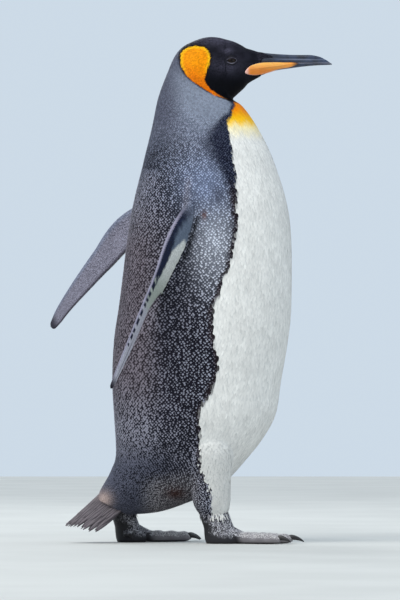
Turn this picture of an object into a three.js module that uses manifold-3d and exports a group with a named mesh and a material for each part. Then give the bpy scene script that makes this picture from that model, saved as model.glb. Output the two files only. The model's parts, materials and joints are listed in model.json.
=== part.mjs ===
// A king penguin in mid stride, life size, as a still display model.
// Units are millimetres. +X is forward, the way the bill points, +Y is the bird's left and +Z is up.
// The floor is z = 0. Every outline below is the bird's own, out to the tips of its feathers.
import * as THREE from "three";
import { mergeVertices } from "three/addons/utils/BufferGeometryUtils.js";
import Module from "manifold-3d";

const wasm = await Module();
wasm.setup();
const { Vector3 } = THREE;

const GAP = 0.35; // clearance between neighbouring solids
const PLANE_OF_SYMMETRY_Y = -25;
const FORWARD = new Vector3(1, 0, 0);
const SIDE_AXIS = new Vector3(0, 1, 0);
const UP = new Vector3(0, 0, 1);
// Facets of each form: round its section, and along it.
const FACETS = {
  body: [26, 35],
  face: [26, 7],
  mandible: [7, 14],
  eye: [12, 6],
  lid: [5, 14],
  flipper: [12, 16],
  leg: [14, 8],
  shank: [12, 7],
  toe: [7, 5],
  claw: [7, 4],
  hindClaw: [6, 3],
  hindToe: [8, 6],
  web: 3,
  plate: 26,
  tail: [12, 6],
};

// Head, neck and trunk are one form. Each row is a slice through it that is square to the bird's plane of
// symmetry: x and z of its back edge, x and z of its front edge, and half its width.
const BODY = [
  [126, 859, 126, 818, 12], // base of the bill
  [100, 868, 103, 805, 20],
  [88, 875, 95, 796, 24.5], // forehead and chin
  [40, 886, 76.5, 779, 34], // crown
  [5, 878, 73.4, 776.3, 38], // ear patches
  [-23, 859, 73.2, 774.9, 42], // hind head and fold of the throat
  [-41, 822, 79, 773, 48], // nape
  [-57, 778, 94, 764, 57],
  [-68, 726, 119, 729, 70], // root of the neck
  [-84, 661, 150, 666, 89],
  [-106, 565, 177, 565, 109], // shoulders
  [-124, 425, 180, 425, 122],
  [-134, 355, 174, 355, 124], // belly
  [-137, 285, 162, 285, 122],
  [-134, 224, 152, 224, 117],
  [-131, 180, 128, 180, 108],
  [-131, 149, 100, 145, 97], // lower belly
  [-138, 129, 72, 114, 85],
  [-145, 114, 38, 89, 72], // vent
  [-158, 91, -44, 57, 47],
  [-162, 77, -108, 50, 29], // root of the tail
];
const HEAD_END = 6; // the slice, counted along BODY, where the head is parted from the neck
const NECK_END = 8; // and the one where the neck is parted from the trunk
const FACE_END = 2.6; // the slice behind the horny plates of the bill
const BODY_SQUARENESS = 2.2; // exponent of the trunk's rounded section: 2 is an ellipse

// The bill's rows: x, top of the upper mandible, line of the mouth, bottom of the lower mandible, half width.
const BILL = [
  [112, 860, 841, 817, 13],
  [126, 858, 841.5, 820, 12],
  [140, 856.3, 842, 825.5, 10],
  [157, 855, 842, 829, 8.4],
  [175, 854, 841.5, 831.5, 7.2],
  [193, 853.8, 841, 834, 6.3],
  [213, 853.6, 840, 836, 5.4],
  [228, 850.5, 839.2, 837, 4.2],
  [240, 844.5, 838.9, 837.4, 2.4],
  [247, 839.6, 838.6, 837.9, 0.7],
];
const BILL_SQUARENESS = 2.3;
// Outline of the horny plate on each side of the lower mandible, seen from the side.
const PLATE_OUTLINE = [
  [96.5, 822],
  [98, 827],
  [104, 834.5],
  [113, 840],
  [128, 841.4],
  [160, 841.4],
  [190, 840.4],
  [176, 833.5],
  [157, 830],
  [141, 825],
  [128, 821],
  [116, 819],
  [104, 819.4],
];
const PLATE_THICKNESS = 1.1;
const PLATE_REACH = 40; // further to the side than any point of a plate
const PLATES_APART = 2; // they stay clear of each other under the chin

const EYE = { x: 72, z: 843, side: 19.6, radius: 10.6 };
const LID = { side: 27.6, radius: 8, thickness: 1.9, slit: 0.72, turn: 0.16 };

// Each flipper: its middle line from shoulder to tip, by way of the arm, the elbow and the hand. spin turns
// its flat away from edge-on to the bird's side, in degrees, at the shoulder and at the tip.
const FLIPPERS = {
  flipper_right: {
    path: [[20, -74, 598], [-16, -106, 543], [-45, -130, 474], [-98, -168, 353], [-136, -196, 267]],
    spin: [28, 14],
  },
  flipper_left: {
    path: [[0, 75, 612], [-114, 150, 551], [-158, 180, 502], [-222, 225, 424], [-252, 250, 380]],
    spin: [46, 50],
  },
};
// Rows along a flipper: share of the length, chord, thickness.
const FLIPPER_ROWS = [
  [0, 48, 30],
  [0.1, 64, 23],
  [0.22, 79, 15.5],
  [0.36, 80, 11.5],
  [0.48, 69, 9.6],
  [0.6, 57, 8.4],
  [0.72, 47, 7.2],
  [0.84, 36, 6],
  [0.93, 28, 4.8],
  [0.98, 19, 3.8],
  [1, 9, 2.6],
];
const FLIPPER_TIP = { from: 0.9, lean: 0.3 }; // the rounded tip drops back from the leading edge
const FLIPPER_TAPER = { thick: 1, thin: 0.44 }; // how the thickness falls from leading to trailing edge

// Feathered legs. Rows: x, distance from the plane of symmetry, z, half depth, half width.
const LEGS = {
  leg_right: {
    side: -1,
    rows: [
      [26, 58, 220, 36, 34],
      [31, 64, 165, 46, 44],
      [34, 58, 118, 39, 37],
      [37, 53, 80, 35, 31],
      [39, 51, 62, 31, 26],
      [41, 50, 52, 26, 22],
    ],
  },
  leg_left: {
    side: 1,
    rows: [
      [-44, 58, 220, 36, 34],
      [-64, 60, 165, 46, 42],
      [-86, 58, 118, 38, 36],
      [-101, 53, 80, 33, 31],
      [-107, 51, 62, 28, 26],
      [-110, 50, 52, 24, 22],
    ],
  },
};
const LEG_SQUARENESS = 2.1;

// Feet. ankle is the point on the floor under the ankle, heading turns the toes outwards, in degrees, and
// depth scales the bare shank from front to back.
const FEET = {
  foot_right: { ankle: [51, -50], heading: -7, depth: 1 },
  foot_left: { ankle: [-110, 50], heading: 29, depth: 0.84 },
};
// Bare shank and instep, from the top. Rows: x from the ankle, z, half depth, half width.
const SHANK = [
  [-10, 66, 20, 16],
  [-9, 54, 25, 19],
  [-5, 40, 26, 20.5],
  [0, 27, 27, 22.5],
  [6, 14, 32, 26],
  [8, 4, 32, 26],
  [7, -4, 26, 20],
];
// A toe, from the instep. Rows: x from the ankle, z of its middle, radius.
const TOE = [
  [8, 24, 14],
  [26, 17, 12],
  [44, 11, 10],
  [72, 9.4, 9.4],
  [98, 9.2, 9],
  [118, 8.6, 7.8],
  [127, 8, 4.8],
];
const TOES = {
  inner: { turn: 17, length: 0.88 },
  middle: { turn: 0, length: 1 },
  outer: { turn: -18, length: 0.92 },
};
const WEB = { root: 10, reach: 104, notch: 86, low: 3, thickness: 5 };
// A claw, from its root in the toe. Rows: x from the ankle along an unscaled toe, z, radius.
const CLAW = [
  [116, 10.4, 3.8],
  [127, 11.4, 4.5],
  [137, 9.4, 3.4],
  [144, 6.4, 2.1],
  [148, 3.8, 0.8],
];
const HIND_TOE = { x: -12, side: 20, z: 14, radius: 6, claw: 13, turn: 62 };

// The tail is a fan of stiff feathers, arched like a roof. "Across" runs from -1 to 1 over the fan.
const TAIL = {
  root: new Vector3(-146, 0, 93),
  along: new Vector3(-0.755, 0, -0.655),
  down: new Vector3(0.655, 0, -0.755),
  halfWidth: 23,
  rootDroop: 48, // how far the outer feathers start below the middle ones
  spread: 0.25,
  length: 98,
  outerShorter: 34,
  thickness: [9, 1.6], // at the root and at the tips
};

// ---------------------------------------------------------------- shapes

// A smooth curve through rows of numbers. at runs from 0 to the last row's index.
function through(rows, at) {
  const last = rows.length - 1;
  const first = Math.min(Math.floor(at), last - 1);
  const f = at - first;
  const row = (i) => rows[Math.min(Math.max(i, 0), last)];
  const [a, b, c, d] = [row(first - 1), row(first), row(first + 1), row(first + 2)];
  return b.map((_, k) =>
    0.5 * (2 * b[k] + (c[k] - a[k]) * f + (2 * a[k] - 5 * b[k] + 4 * c[k] - d[k]) * f * f
      + (3 * b[k] - a[k] - 3 * c[k] + d[k]) * f * f * f));
}

// The same curve, looked up by the rows' first number instead of by their index.
function throughAt(rows, key) {
  let i = rows.length - 2;
  while (i > 0 && rows[i][0] > key) i -= 1;
  return through(rows, i + (key - rows[i][0]) / (rows[i + 1][0] - rows[i][0]));
}

const steps = (count, from = 0, to = 1) =>
  Array.from({ length: count + 1 }, (_, i) => from + ((to - from) * i) / count);

// A point of a rounded section: angle 0 is its front, and squareness 2 makes an ellipse.
function rounded(angle, squareness = 2) {
  const bend = (v) => Math.sign(v) * Math.abs(v) ** (2 / squareness);
  return [bend(Math.cos(angle)), bend(Math.sin(angle))];
}

// A ring of points round centre, radiusU along u and radiusV along v.
function ring(centre, u, radiusU, v, radiusV, sides, squareness = 2) {
  return Array.from({ length: sides }, (_, i) => {
    const [c, s] = rounded((2 * Math.PI * i) / sides, squareness);
    return centre.clone().addScaledVector(u, c * radiusU).addScaledVector(v, s * radiusV);
  });
}

// A closed solid whose surface runs through equal-sized rings, with a flat fan at each end.
function loft(rings) {
  const n = rings[0].length;
  const middle = (r) => r.reduce((sum, p) => sum.add(p), new Vector3()).divideScalar(n);
  const points = [...rings.flat(), middle(rings[0]), middle(rings.at(-1))];
  const faces = [];
  for (let r = 0; r + 1 < rings.length; r += 1) {
    for (let i = 0; i < n; i += 1) {
      const [a, b] = [r * n + i, r * n + ((i + 1) % n)];
      faces.push([a, b, b + n], [a, b + n, a + n]);
    }
  }
  const last = (rings.length - 1) * n;
  for (let i = 0; i < n; i += 1) {
    const j = (i + 1) % n;
    faces.push([j, i, points.length - 2], [last + i, last + j, points.length - 1]);
  }
  return solidOf(points.flatMap((p) => [p.x, p.y, p.z]), faces.flat());
}

function manifold(vertices, triangles) {
  const vertProperties = Float32Array.from(vertices);
  const triVerts = Uint32Array.from(triangles);
  return new wasm.Manifold(new wasm.Mesh({ numProp: 3, vertProperties, triVerts }));
}

// A solid from numbers, turned right side out if its faces point inwards.
function solidOf(vertices, triangles) {
  const made = manifold(vertices, triangles);
  if (made.volume() > 0) return made;
  const turned = triangles.map((_, i) => triangles[i - (i % 3) + (2 - (i % 3))]);
  return manifold(vertices, turned);
}

// A three.js geometry as a solid.
function solidFrom(geometry) {
  geometry.deleteAttribute("normal");
  geometry.deleteAttribute("uv");
  const merged = mergeVertices(geometry, 1e-4);
  return solidOf([...merged.attributes.position.array], [...merged.index.array]);
}

const join = (...solids) => solids.reduce((sum, s) => sum.add(s));
const cut = (solid, ...tools) => tools.reduce((rest, tool) => rest.subtract(tool), solid);
const largest = (solid) => solid.decompose().reduce((a, b) => (a.volume() > b.volume() ? a : b));

// The plane that holds the body's slice at a place along BODY. Its normal points towards the tail.
function slicePlane(at) {
  const [backX, backZ, frontX, frontZ] = through(BODY, at);
  const normal = new Vector3(backX - frontX, 0, backZ - frontZ).cross(SIDE_AXIS).normalize();
  return { normal, offset: normal.dot(new Vector3(backX, 0, backZ)) };
}

function between(solid, from, to) {
  let part = solid;
  if (from) part = part.trimByPlane(from.normal.toArray(), from.offset + GAP / 2);
  if (to) part = part.trimByPlane(to.normal.clone().negate().toArray(), GAP / 2 - to.offset);
  return part;
}

// ---------------------------------------------------------------- body

function bodyForm(grow = 0, to = BODY.length - 1, [sides, count] = FACETS.body) {
  return loft(steps(count, 0, to).map((at) => {
    const [backX, backZ, frontX, frontZ, half] = through(BODY, at);
    const back = new Vector3(backX, 0, backZ);
    const reach = new Vector3(frontX, 0, frontZ).sub(back);
    const centre = back.addScaledVector(reach, 0.5);
    const depth = reach.length() / 2 + grow;
    return ring(centre, reach.normalize(), depth, SIDE_AXIS, half + grow, sides, BODY_SQUARENESS);
  }));
}

// ---------------------------------------------------------------- bill

// One mandible, between the line of the mouth and its own ridge.
function mandible(upper, grow = 0) {
  const [sides, count] = FACETS.mandible;
  return loft(steps(count, BILL[0][0], BILL.at(-1)[0]).map((place) => {
    const [x, top, mouth, bottom, half] = throughAt(BILL, place);
    const sign = upper ? 1 : -1;
    const edge = mouth + sign * (GAP / 2 - grow);
    const height = Math.max(Math.abs((upper ? top : bottom) - edge) + grow, 0.3);
    return steps(sides, 0, Math.PI).map((angle) => {
      const [c, s] = rounded(angle, BILL_SQUARENESS);
      return new Vector3(x, c * (half + grow), edge + sign * s * height);
    });
  }));
}

// The plate on one side of the lower mandible: a skin on the chin and mandible, cut to the plate's outline.
function billPlate(side) {
  const corners = [...PLATE_OUTLINE, PLATE_OUTLINE[0]].map(([x, z]) => new THREE.Vector2(x, z));
  const outline = new THREE.Shape(new THREE.SplineCurve(corners).getPoints(FACETS.plate));
  const prism = new THREE.ExtrudeGeometry(
    outline, { depth: PLATE_REACH, bevelEnabled: false, curveSegments: 1 });
  prism.rotateX(Math.PI / 2); // the outline's y becomes z, and the depth runs towards -Y
  prism.translate(0, side > 0 ? PLATE_REACH + PLATES_APART / 2 : -PLATES_APART / 2, 0);
  const face = (grow) => join(bodyForm(grow, FACE_END, FACETS.face), mandible(false, grow));
  const skin = cut(face(GAP + PLATE_THICKNESS), face(GAP), mandible(true, GAP));
  return largest(solidFrom(prism).intersect(skin));
}

// ---------------------------------------------------------------- eyes

function eyeball(side, grow = 0) {
  const ball = new THREE.SphereGeometry(EYE.radius + grow, ...FACETS.eye);
  ball.rotateX(Math.PI / 2);
  ball.translate(EYE.x, side * EYE.side, EYE.z);
  return solidFrom(ball);
}

function eyelid(side) {
  const rim = new THREE.TorusGeometry(LID.radius, LID.thickness, ...FACETS.lid);
  rim.rotateX(Math.PI / 2);
  rim.scale(1, 1, LID.slit);
  rim.rotateZ(-side * LID.turn);
  rim.translate(EYE.x, side * LID.side, EYE.z);
  return solidFrom(rim);
}

// ---------------------------------------------------------------- flippers

function flipper({ path, spin }, grow = 0) {
  const curve = new THREE.CatmullRomCurve3(path.map((p) => new Vector3(...p)));
  const bodySide = path[0][1] < 0 ? 1 : -1; // which way along Y the trailing edge points
  const [sides, count] = FACETS.flipper;
  return loft(steps(count).map((share) => {
    const [, chord, thickness] = throughAt(FLIPPER_ROWS, share);
    const along = curve.getTangentAt(share);
    const inView = new Vector3(-along.z, 0, along.x).normalize(); // square to the flipper, fore and aft
    const flat = along.clone().cross(inView);
    if (flat.y * bodySide < 0) flat.negate();
    const turn = THREE.MathUtils.degToRad(THREE.MathUtils.lerp(...spin, share));
    const back = inView.multiplyScalar(Math.sin(turn)).addScaledVector(flat, Math.cos(turn));
    const face = back.clone().cross(along).normalize();
    const lean = FLIPPER_TIP.lean * Math.max(0, share - FLIPPER_TIP.from) * chord;
    const middle = curve.getPointAt(share).addScaledVector(back, lean);
    return Array.from({ length: sides }, (_, i) => {
      const angle = (2 * Math.PI * i) / sides;
      const across = -Math.cos(angle); // -1 at the leading edge
      const taper = THREE.MathUtils.lerp(FLIPPER_TAPER.thick, FLIPPER_TAPER.thin, (across + 1) / 2);
      return middle.clone()
        .addScaledVector(back, across * (chord / 2 + grow))
        .addScaledVector(face, Math.sin(angle) * (taper * thickness / 2 + grow));
    });
  }));
}

// ---------------------------------------------------------------- legs and feet

function leg({ side, rows }, grow = 0) {
  const [sides, count] = FACETS.leg;
  return loft(steps(count, 0, rows.length - 1).map((at) => {
    const [x, y, z, depth, width] = through(rows, at);
    const middle = new Vector3(x, side * y, z);
    return ring(middle, FORWARD, depth + grow, SIDE_AXIS, width + grow, sides, LEG_SQUARENESS);
  }));
}

// A round tapering limb along +X, from rows of x, z and radius.
function limb(rows, [sides, count], grow = 0, stretch = 1) {
  return loft(steps(count, 0, rows.length - 1).map((at) => {
    const [x, z, radius] = through(rows, at);
    return ring(new Vector3(x * stretch, 0, z), SIDE_AXIS, radius + grow, UP, radius + grow, sides);
  }));
}

const turned = (solid, degrees) => solid.rotate([0, 0, degrees]);

function placed(solid, { ankle, heading }) {
  return turned(solid, heading).translate([ankle[0], ankle[1], 0]);
}

// The inner toe of the left foot turns to the right, and the other way round.
const innerSide = (foot) => (foot.ankle[1] > 0 ? -1 : 1);

function claw(foot, toe, grow = 0) {
  const { turn, length } = TOES[toe];
  return placed(turned(limb(CLAW, FACETS.claw, grow, length), turn * innerSide(foot)), foot);
}

function hindClaw(foot, grow = 0) {
  const { x, side, z, radius, claw: length, turn } = HIND_TOE;
  const rows = [[0, z, radius / 2], [length * 0.6, z - 2, radius * 0.38], [length, z - 6, radius / 10]];
  const made = turned(limb(rows, FACETS.hindClaw, grow), innerSide(foot) * turn);
  return placed(made.translate([x, innerSide(foot) * side, 0]), foot);
}

function web(foot) {
  const { root, reach, notch, low, thickness } = WEB;
  const at = (degrees, radius) => {
    const a = THREE.MathUtils.degToRad(degrees * innerSide(foot));
    return [radius * Math.cos(a), radius * Math.sin(a)];
  };
  const outline = new THREE.Shape();
  outline.moveTo(...at(TOES.outer.turn, root));
  outline.lineTo(...at(TOES.outer.turn, reach * TOES.outer.length));
  outline.quadraticCurveTo(...at(TOES.outer.turn / 2, notch), ...at(0, reach));
  const innerTip = at(TOES.inner.turn, reach * TOES.inner.length);
  outline.quadraticCurveTo(...at(TOES.inner.turn / 2, notch), ...innerTip);
  outline.lineTo(...at(TOES.inner.turn, root));
  const sheet = new THREE.ExtrudeGeometry(
    outline, { depth: thickness, bevelEnabled: false, curveSegments: FACETS.web });
  sheet.translate(0, 0, low);
  return solidFrom(sheet);
}

function foot(spec, grow = 0) {
  const [sides, count] = FACETS.shank;
  const shank = loft(steps(count, 0, SHANK.length - 1).map((at) => {
    const [x, z, depth, width] = through(SHANK, at);
    return ring(new Vector3(x, 0, z), FORWARD, depth * spec.depth + grow, SIDE_AXIS, width + grow, sides);
  }));
  const toes = Object.values(TOES).map(({ turn, length }) =>
    turned(limb(TOE, FACETS.toe, grow, length), turn * innerSide(spec)));
  const { x, side, z, radius } = HIND_TOE;
  const hindToe = new THREE.SphereGeometry(radius + grow, ...FACETS.hindToe);
  hindToe.translate(x, innerSide(spec) * side, z);
  const whole = placed(join(shank, ...toes, web(spec), solidFrom(hindToe)), spec);
  return whole.trimByPlane([0, 0, 1], 0); // the sole is flat, on the floor
}

// ---------------------------------------------------------------- tail

function tailPoint(across, share) {
  const { root, along, down, halfWidth, rootDroop, spread, length, outerShorter } = TAIL;
  const way = along.clone().addScaledVector(SIDE_AXIS, spread * across);
  return root.clone()
    .addScaledVector(SIDE_AXIS, halfWidth * across)
    .addScaledVector(down, rootDroop * across ** 2)
    .addScaledVector(way.normalize(), share * (length - outerShorter * across ** 2));
}

function tail(grow = 0) {
  const nudge = 0.01;
  const face = (across, share) => {
    const overFan = tailPoint(across + nudge, share).sub(tailPoint(across - nudge, share));
    const outwards = tailPoint(across, share + nudge).sub(tailPoint(across, share));
    const normal = overFan.cross(outwards).normalize();
    return normal.z < 0 ? normal.negate() : normal;
  };
  const [wide, count] = FACETS.tail;
  return loft(steps(count).map((share) => {
    const thickness = THREE.MathUtils.lerp(...TAIL.thickness, share);
    const row = (offset) => steps(wide, -1, 1).map((place) => {
      const across = place * (1 + grow / TAIL.halfWidth);
      return tailPoint(across, share).addScaledVector(face(across, share), offset);
    });
    return [...row(grow), ...row(-thickness - grow).reverse()];
  }));
}

// ---------------------------------------------------------------- the bird

const SIDES = { right: -1, left: 1 };
const solids = {};

const body = bodyForm();
const headCut = slicePlane(HEAD_END);
const neckCut = slicePlane(NECK_END);

solids.bill_upper = mandible(true);
solids.bill_lower = mandible(false);
for (const [name, side] of Object.entries(SIDES)) {
  solids[`bill_plate_${name}`] = billPlate(side);
  solids[`eye_${name}`] = eyeball(side);
}

const lids = Object.values(SIDES).map(eyelid);
const sockets = Object.values(SIDES).map((side) => eyeball(side, GAP));
const billRoom = [mandible(true, GAP), mandible(false, GAP)];
solids.head = largest(cut(join(between(body, null, headCut), ...lids), ...sockets, ...billRoom));
solids.neck = between(body, headCut, neckCut);

for (const [name, spec] of Object.entries(FLIPPERS)) solids[name] = flipper(spec);
for (const [name, spec] of Object.entries(FEET)) {
  const side = name.replace("foot_", "");
  const claws = Object.keys(TOES);
  for (const toe of claws) solids[`claw_${side}_${toe}`] = claw(spec, toe);
  solids[`claw_${side}_hind`] = hindClaw(spec);
  solids[name] = largest(cut(foot(spec), ...claws.map((toe) => claw(spec, toe, GAP)), hindClaw(spec, GAP)));
  const legName = `leg_${side}`;
  solids[legName] = largest(cut(leg(LEGS[legName]), foot(spec, GAP)));
}
solids.tail = largest(cut(
  tail(),
  ...Object.values(LEGS).map((spec) => leg(spec, GAP)),
  ...Object.values(FEET).map((spec) => foot(spec, GAP)),
));
solids.trunk = largest(cut(
  between(body, neckCut, null),
  ...Object.values(FLIPPERS).map((spec) => flipper(spec, GAP)),
  ...Object.values(LEGS).map((spec) => leg(spec, GAP)),
  ...Object.values(FEET).map((spec) => foot(spec, GAP)),
  tail(GAP),
));

const finish = (color, roughness) => new THREE.MeshStandardMaterial({ color, roughness });
const FINISHES = {
  head: finish("#15161c", 0.6),
  neck: finish("#7b828f", 0.7),
  trunk: finish("#585c66", 0.75),
  leg: finish("#8e9197", 0.8),
  flipper: finish("#6c7079", 0.6),
  tail: finish("#3f4048", 0.7),
  bill_upper: finish("#1b1c22", 0.4),
  bill_lower: finish("#1d1d22", 0.4),
  bill_plate: finish("#ea8c32", 0.35),
  eye: finish("#1a0f0a", 0.08),
  foot: finish("#44444a", 0.65),
  claw: finish("#141416", 0.4),
};

const bird = new THREE.Group();
for (const [name, solid] of Object.entries(solids)) {
  const { numProp, numVert, vertProperties, triVerts } = solid.getMesh();
  const geometry = new THREE.BufferGeometry();
  const positions = Float32Array.from({ length: 3 * numVert },
    (_, i) => vertProperties[Math.floor(i / 3) * numProp + (i % 3)]);
  geometry.setAttribute("position", new THREE.BufferAttribute(positions, 3));
  geometry.setIndex(new THREE.BufferAttribute(triVerts, 1));
  const kind = Object.keys(FINISHES).find((key) => name.startsWith(key));
  const mesh = new THREE.Mesh(geometry, FINISHES[kind]);
  mesh.name = name;
  bird.add(mesh);
}

// The left flipper reaches out further than the right, so the bird stands off the origin, which is on the
// floor under the middle of the bird's box.
for (const mesh of bird.children) mesh.position.set(0, PLANE_OF_SYMMETRY_Y, 0);

export default bird;
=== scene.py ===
"""Looks of a life-size king penguin in mid stride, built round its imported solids.

Shapes are worked out in millimetres: +X is forward, +Y the bird's left, +Z up, and the bird's plane of
symmetry is y = 0 until a mesh is made, when it moves to y = -25. Colours are sRGB from 0 to 255.
"""

import json
import math
from functools import partial
from itertools import product

import bpy
import numpy as np
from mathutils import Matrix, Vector
from mathutils.bvhtree import BVHTree
from mathutils.kdtree import KDTree

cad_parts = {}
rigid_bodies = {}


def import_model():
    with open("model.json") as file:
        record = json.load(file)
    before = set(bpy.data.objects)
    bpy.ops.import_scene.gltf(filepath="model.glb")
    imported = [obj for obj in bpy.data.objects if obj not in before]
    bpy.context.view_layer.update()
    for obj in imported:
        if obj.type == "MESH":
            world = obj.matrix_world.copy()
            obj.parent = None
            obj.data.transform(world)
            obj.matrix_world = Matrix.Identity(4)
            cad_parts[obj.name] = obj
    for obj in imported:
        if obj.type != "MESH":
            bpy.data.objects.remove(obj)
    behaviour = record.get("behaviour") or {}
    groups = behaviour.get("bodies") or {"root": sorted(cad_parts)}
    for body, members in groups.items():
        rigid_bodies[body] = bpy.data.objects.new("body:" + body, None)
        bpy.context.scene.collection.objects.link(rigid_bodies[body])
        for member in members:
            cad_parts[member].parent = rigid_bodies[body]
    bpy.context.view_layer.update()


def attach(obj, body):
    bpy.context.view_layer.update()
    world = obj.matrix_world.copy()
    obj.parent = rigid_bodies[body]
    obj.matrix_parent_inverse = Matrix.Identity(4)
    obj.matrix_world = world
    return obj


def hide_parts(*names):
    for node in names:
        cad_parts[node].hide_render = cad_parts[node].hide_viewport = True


for leftover in list(bpy.data.objects):
    bpy.data.objects.remove(leftover)
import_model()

MM = 0.001
SYMMETRY_Y = -25.0
SHIFT = np.array([0, SYMMETRY_Y, 0])
SIDES = {-1: "right", 1: "left"}
rng = np.random.default_rng(11)

# ---------- driving sizes

# Slices of head, neck and trunk: x and z of the back edge, x and z of the front edge, half the width.
BODY = np.array([
    [126, 859, 126, 818, 12], [100, 868, 103, 805, 20], [88, 875, 95, 796, 24.5], [40, 886, 76.5, 779, 34],
    [5, 878, 73.4, 776.3, 38], [-23, 859, 73.2, 774.9, 42], [-41, 822, 79, 773, 48], [-57, 778, 94, 764, 57],
    [-68, 726, 119, 729, 70], [-84, 661, 150, 666, 89], [-106, 565, 177, 565, 109],
    [-124, 425, 180, 425, 122], [-134, 355, 174, 355, 124], [-137, 285, 162, 285, 122],
    [-134, 224, 152, 224, 117], [-131, 180, 128, 180, 108], [-131, 149, 100, 145, 97],
    [-138, 129, 72, 114, 85], [-145, 114, 38, 89, 72], [-158, 91, -44, 57, 47], [-162, 77, -108, 50, 29],
])
BODY_END = len(BODY) - 1
BODY_SQUARENESS = 2.2
HEAD_END, NECK_END, BREAST_END, BELLY_END = 6.0, 9.0, 11.2, 14.7  # in slices

# x, top of the upper mandible, line of the mouth, bottom of the lower mandible, half width.
BILL = np.array([
    [112, 861, 841, 817, 13], [126, 859.3, 841.5, 820, 12], [140, 857.8, 842, 825.5, 10],
    [157, 856.5, 842, 829, 8.4], [175, 855.5, 841.5, 831.5, 7.2], [193, 855.2, 841, 834, 6.3],
    [213, 854.9, 840, 836, 5.4], [228, 851.8, 839.2, 837, 4.2], [240, 845.8, 838.9, 837.4, 2.4],
    [249, 839.8, 838.6, 837.9, 0.7],
])
BILL_START = 104.0  # inside the head
PLATE_OUTLINE = [
    (96.5, 822), (98.5, 827.5), (104.5, 833.4), (112, 837.2), (122, 839.8), (134, 841), (160, 841.4),
    (190, 840.4), (176, 833.5), (157, 830), (141, 825), (128, 821), (116, 819), (104, 819.4),
]
EYE = np.array([72.0, 19.6, 843.0])
EYE_RADIUS = 11.2
EYE_CLEAR = 8.8  # no feather is rooted nearer to the eye

# Path of the middle line, the blade's turn out of the picture's plane at shares of its length, in degrees,
# and how much broader its rear half is near the body.
FLIPPERS = {
    "right": {
        "path": [[28, -72, 598], [-4, -109, 543], [-42, -130, 474], [-71.5, -149, 419], [-99, -168, 353],
                 [-136, -196, 267]],
        "spin": [[0, 54], [0.1, 50], [0.2, 43], [0.29, 36], [0.37, 28], [0.46, 20], [0.53, 14], [0.6, 12],
                 [0.68, 13], [0.78, 15], [1, 15]],
        "broader": 0.12,
    },
    "left": {
        "path": [[0, 75, 612], [-114, 150, 551], [-158, 180, 502], [-222, 225, 424], [-252, 250, 380]],
        "spin": [[0, 46], [0.5, 48], [1, 50]],
        "broader": 0.0,
    },
}
# Share of the length, chord, thickness.
FLIPPER_ROWS = np.array([
    [0, 44, 12], [0.06, 56, 15], [0.12, 66, 16], [0.22, 79, 14.5], [0.36, 80, 11.5], [0.48, 69, 9.6],
    [0.6, 57, 8.4], [0.72, 47, 7.2], [0.84, 36, 6], [0.93, 28, 4.8], [0.98, 19, 3.8], [1, 9, 2.6],
])
FLIPPER_SQUARENESS = 2.5
FLIPPER_TAPER = 0.44
FLIPPER_LEAST = 1.6  # half the thickness of its skin where it is thinnest
FLIPPER_TIP = 0.995

# x, distance from the plane of symmetry, z, half depth, half width.
LEGS = {
    "right": (-1, np.array([[26, 58, 220, 36, 34], [31, 64, 165, 46, 44], [34, 58, 118, 39, 37],
                            [37, 53, 80, 35, 31], [39, 51, 62, 31, 26], [41, 50, 52, 26, 22]])),
    "left": (1, np.array([[-44, 58, 220, 36, 34], [-64, 60, 165, 46, 42], [-86, 58, 118, 38, 36],
                          [-101, 53, 80, 33, 31], [-107, 51, 62, 28, 26], [-110, 50, 52, 24, 22]])),
}
LEG_SQUARENESS = 2.1

# The point on the floor under the ankle, the way the toes point in degrees, the shank's depth.
FEET = {
    "right": {"ankle": (51, -50), "heading": -7, "depth": 1.0, "inner": 1},
    "left": {"ankle": (-110, 50), "heading": 29, "depth": 0.84, "inner": -1},
}
# x, z, half depth, half width.
SHANK = np.array([[-10, 66, 20, 16], [-9, 54, 25, 19], [-5, 40, 26, 20.5], [0, 27, 27, 22.5], [6, 14, 32, 26],
                  [8, 4, 32, 26], [7, -4, 26, 20]])
# x, z, radius of a toe and of a claw, and the turn and length of each toe.
TOE = np.array([[8, 24, 14], [26, 17, 12], [44, 11, 10], [72, 9.4, 9.4], [98, 9.2, 9], [118, 8.6, 7.8],
                [127, 8, 4.8]])
CLAW = np.array([[116, 10.4, 3.8], [127, 11.4, 4.5], [137, 9.4, 3.4], [144, 6.4, 2.1], [148, 3.8, 0.8]])
TOES = {"inner": (17, 0.88), "middle": (0, 1.0), "outer": (-18, 0.92)}
HIND_TOE = {"x": -12, "side": 20, "z": 14, "radius": 6, "claw": 13, "turn": 62}
WEB = {"length": 104, "scoop": 0.34, "sag": 1.8, "thickness": 3.6}

TAIL = {
    "root": np.array([-146.0, 0, 93]), "along": np.array([-0.755, 0, -0.655]),
    "down": np.array([0.655, 0, -0.755]), "half": 23, "droop": 48, "spread": 0.25,
    "length": 98, "shorter": 34,
}

# How deep the skin lies under the feather tips: at slices of the body, on legs and on flippers.
BODY_COAT = ([0, 2, 5, 7, 9, 18, 20], [0.5, 0.6, 1.0, 1.7, 2.4, 2.4, 2.0])
LEG_COAT = 3.0
FLIPPER_COAT = 1.0
SKIN_VOXEL = 2.3
FOOT_VOXEL = 1.25

# ---------- curves and rings


def spline(rows, at):
    """A smooth curve through rows of numbers, at places counted in rows."""
    rows, at = np.asarray(rows, float), np.atleast_1d(np.asarray(at, float))
    first = np.clip(np.floor(at).astype(int), 0, len(rows) - 2)
    f = (at - first)[:, None]
    a, b, c, d = (rows[np.clip(first + i, 0, len(rows) - 1)] for i in (-1, 0, 1, 2))
    return 0.5 * (2 * b + (c - a) * f + (2 * a - 5 * b + 4 * c - d) * f**2 + (3 * b - a - 3 * c + d) * f**3)


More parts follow.
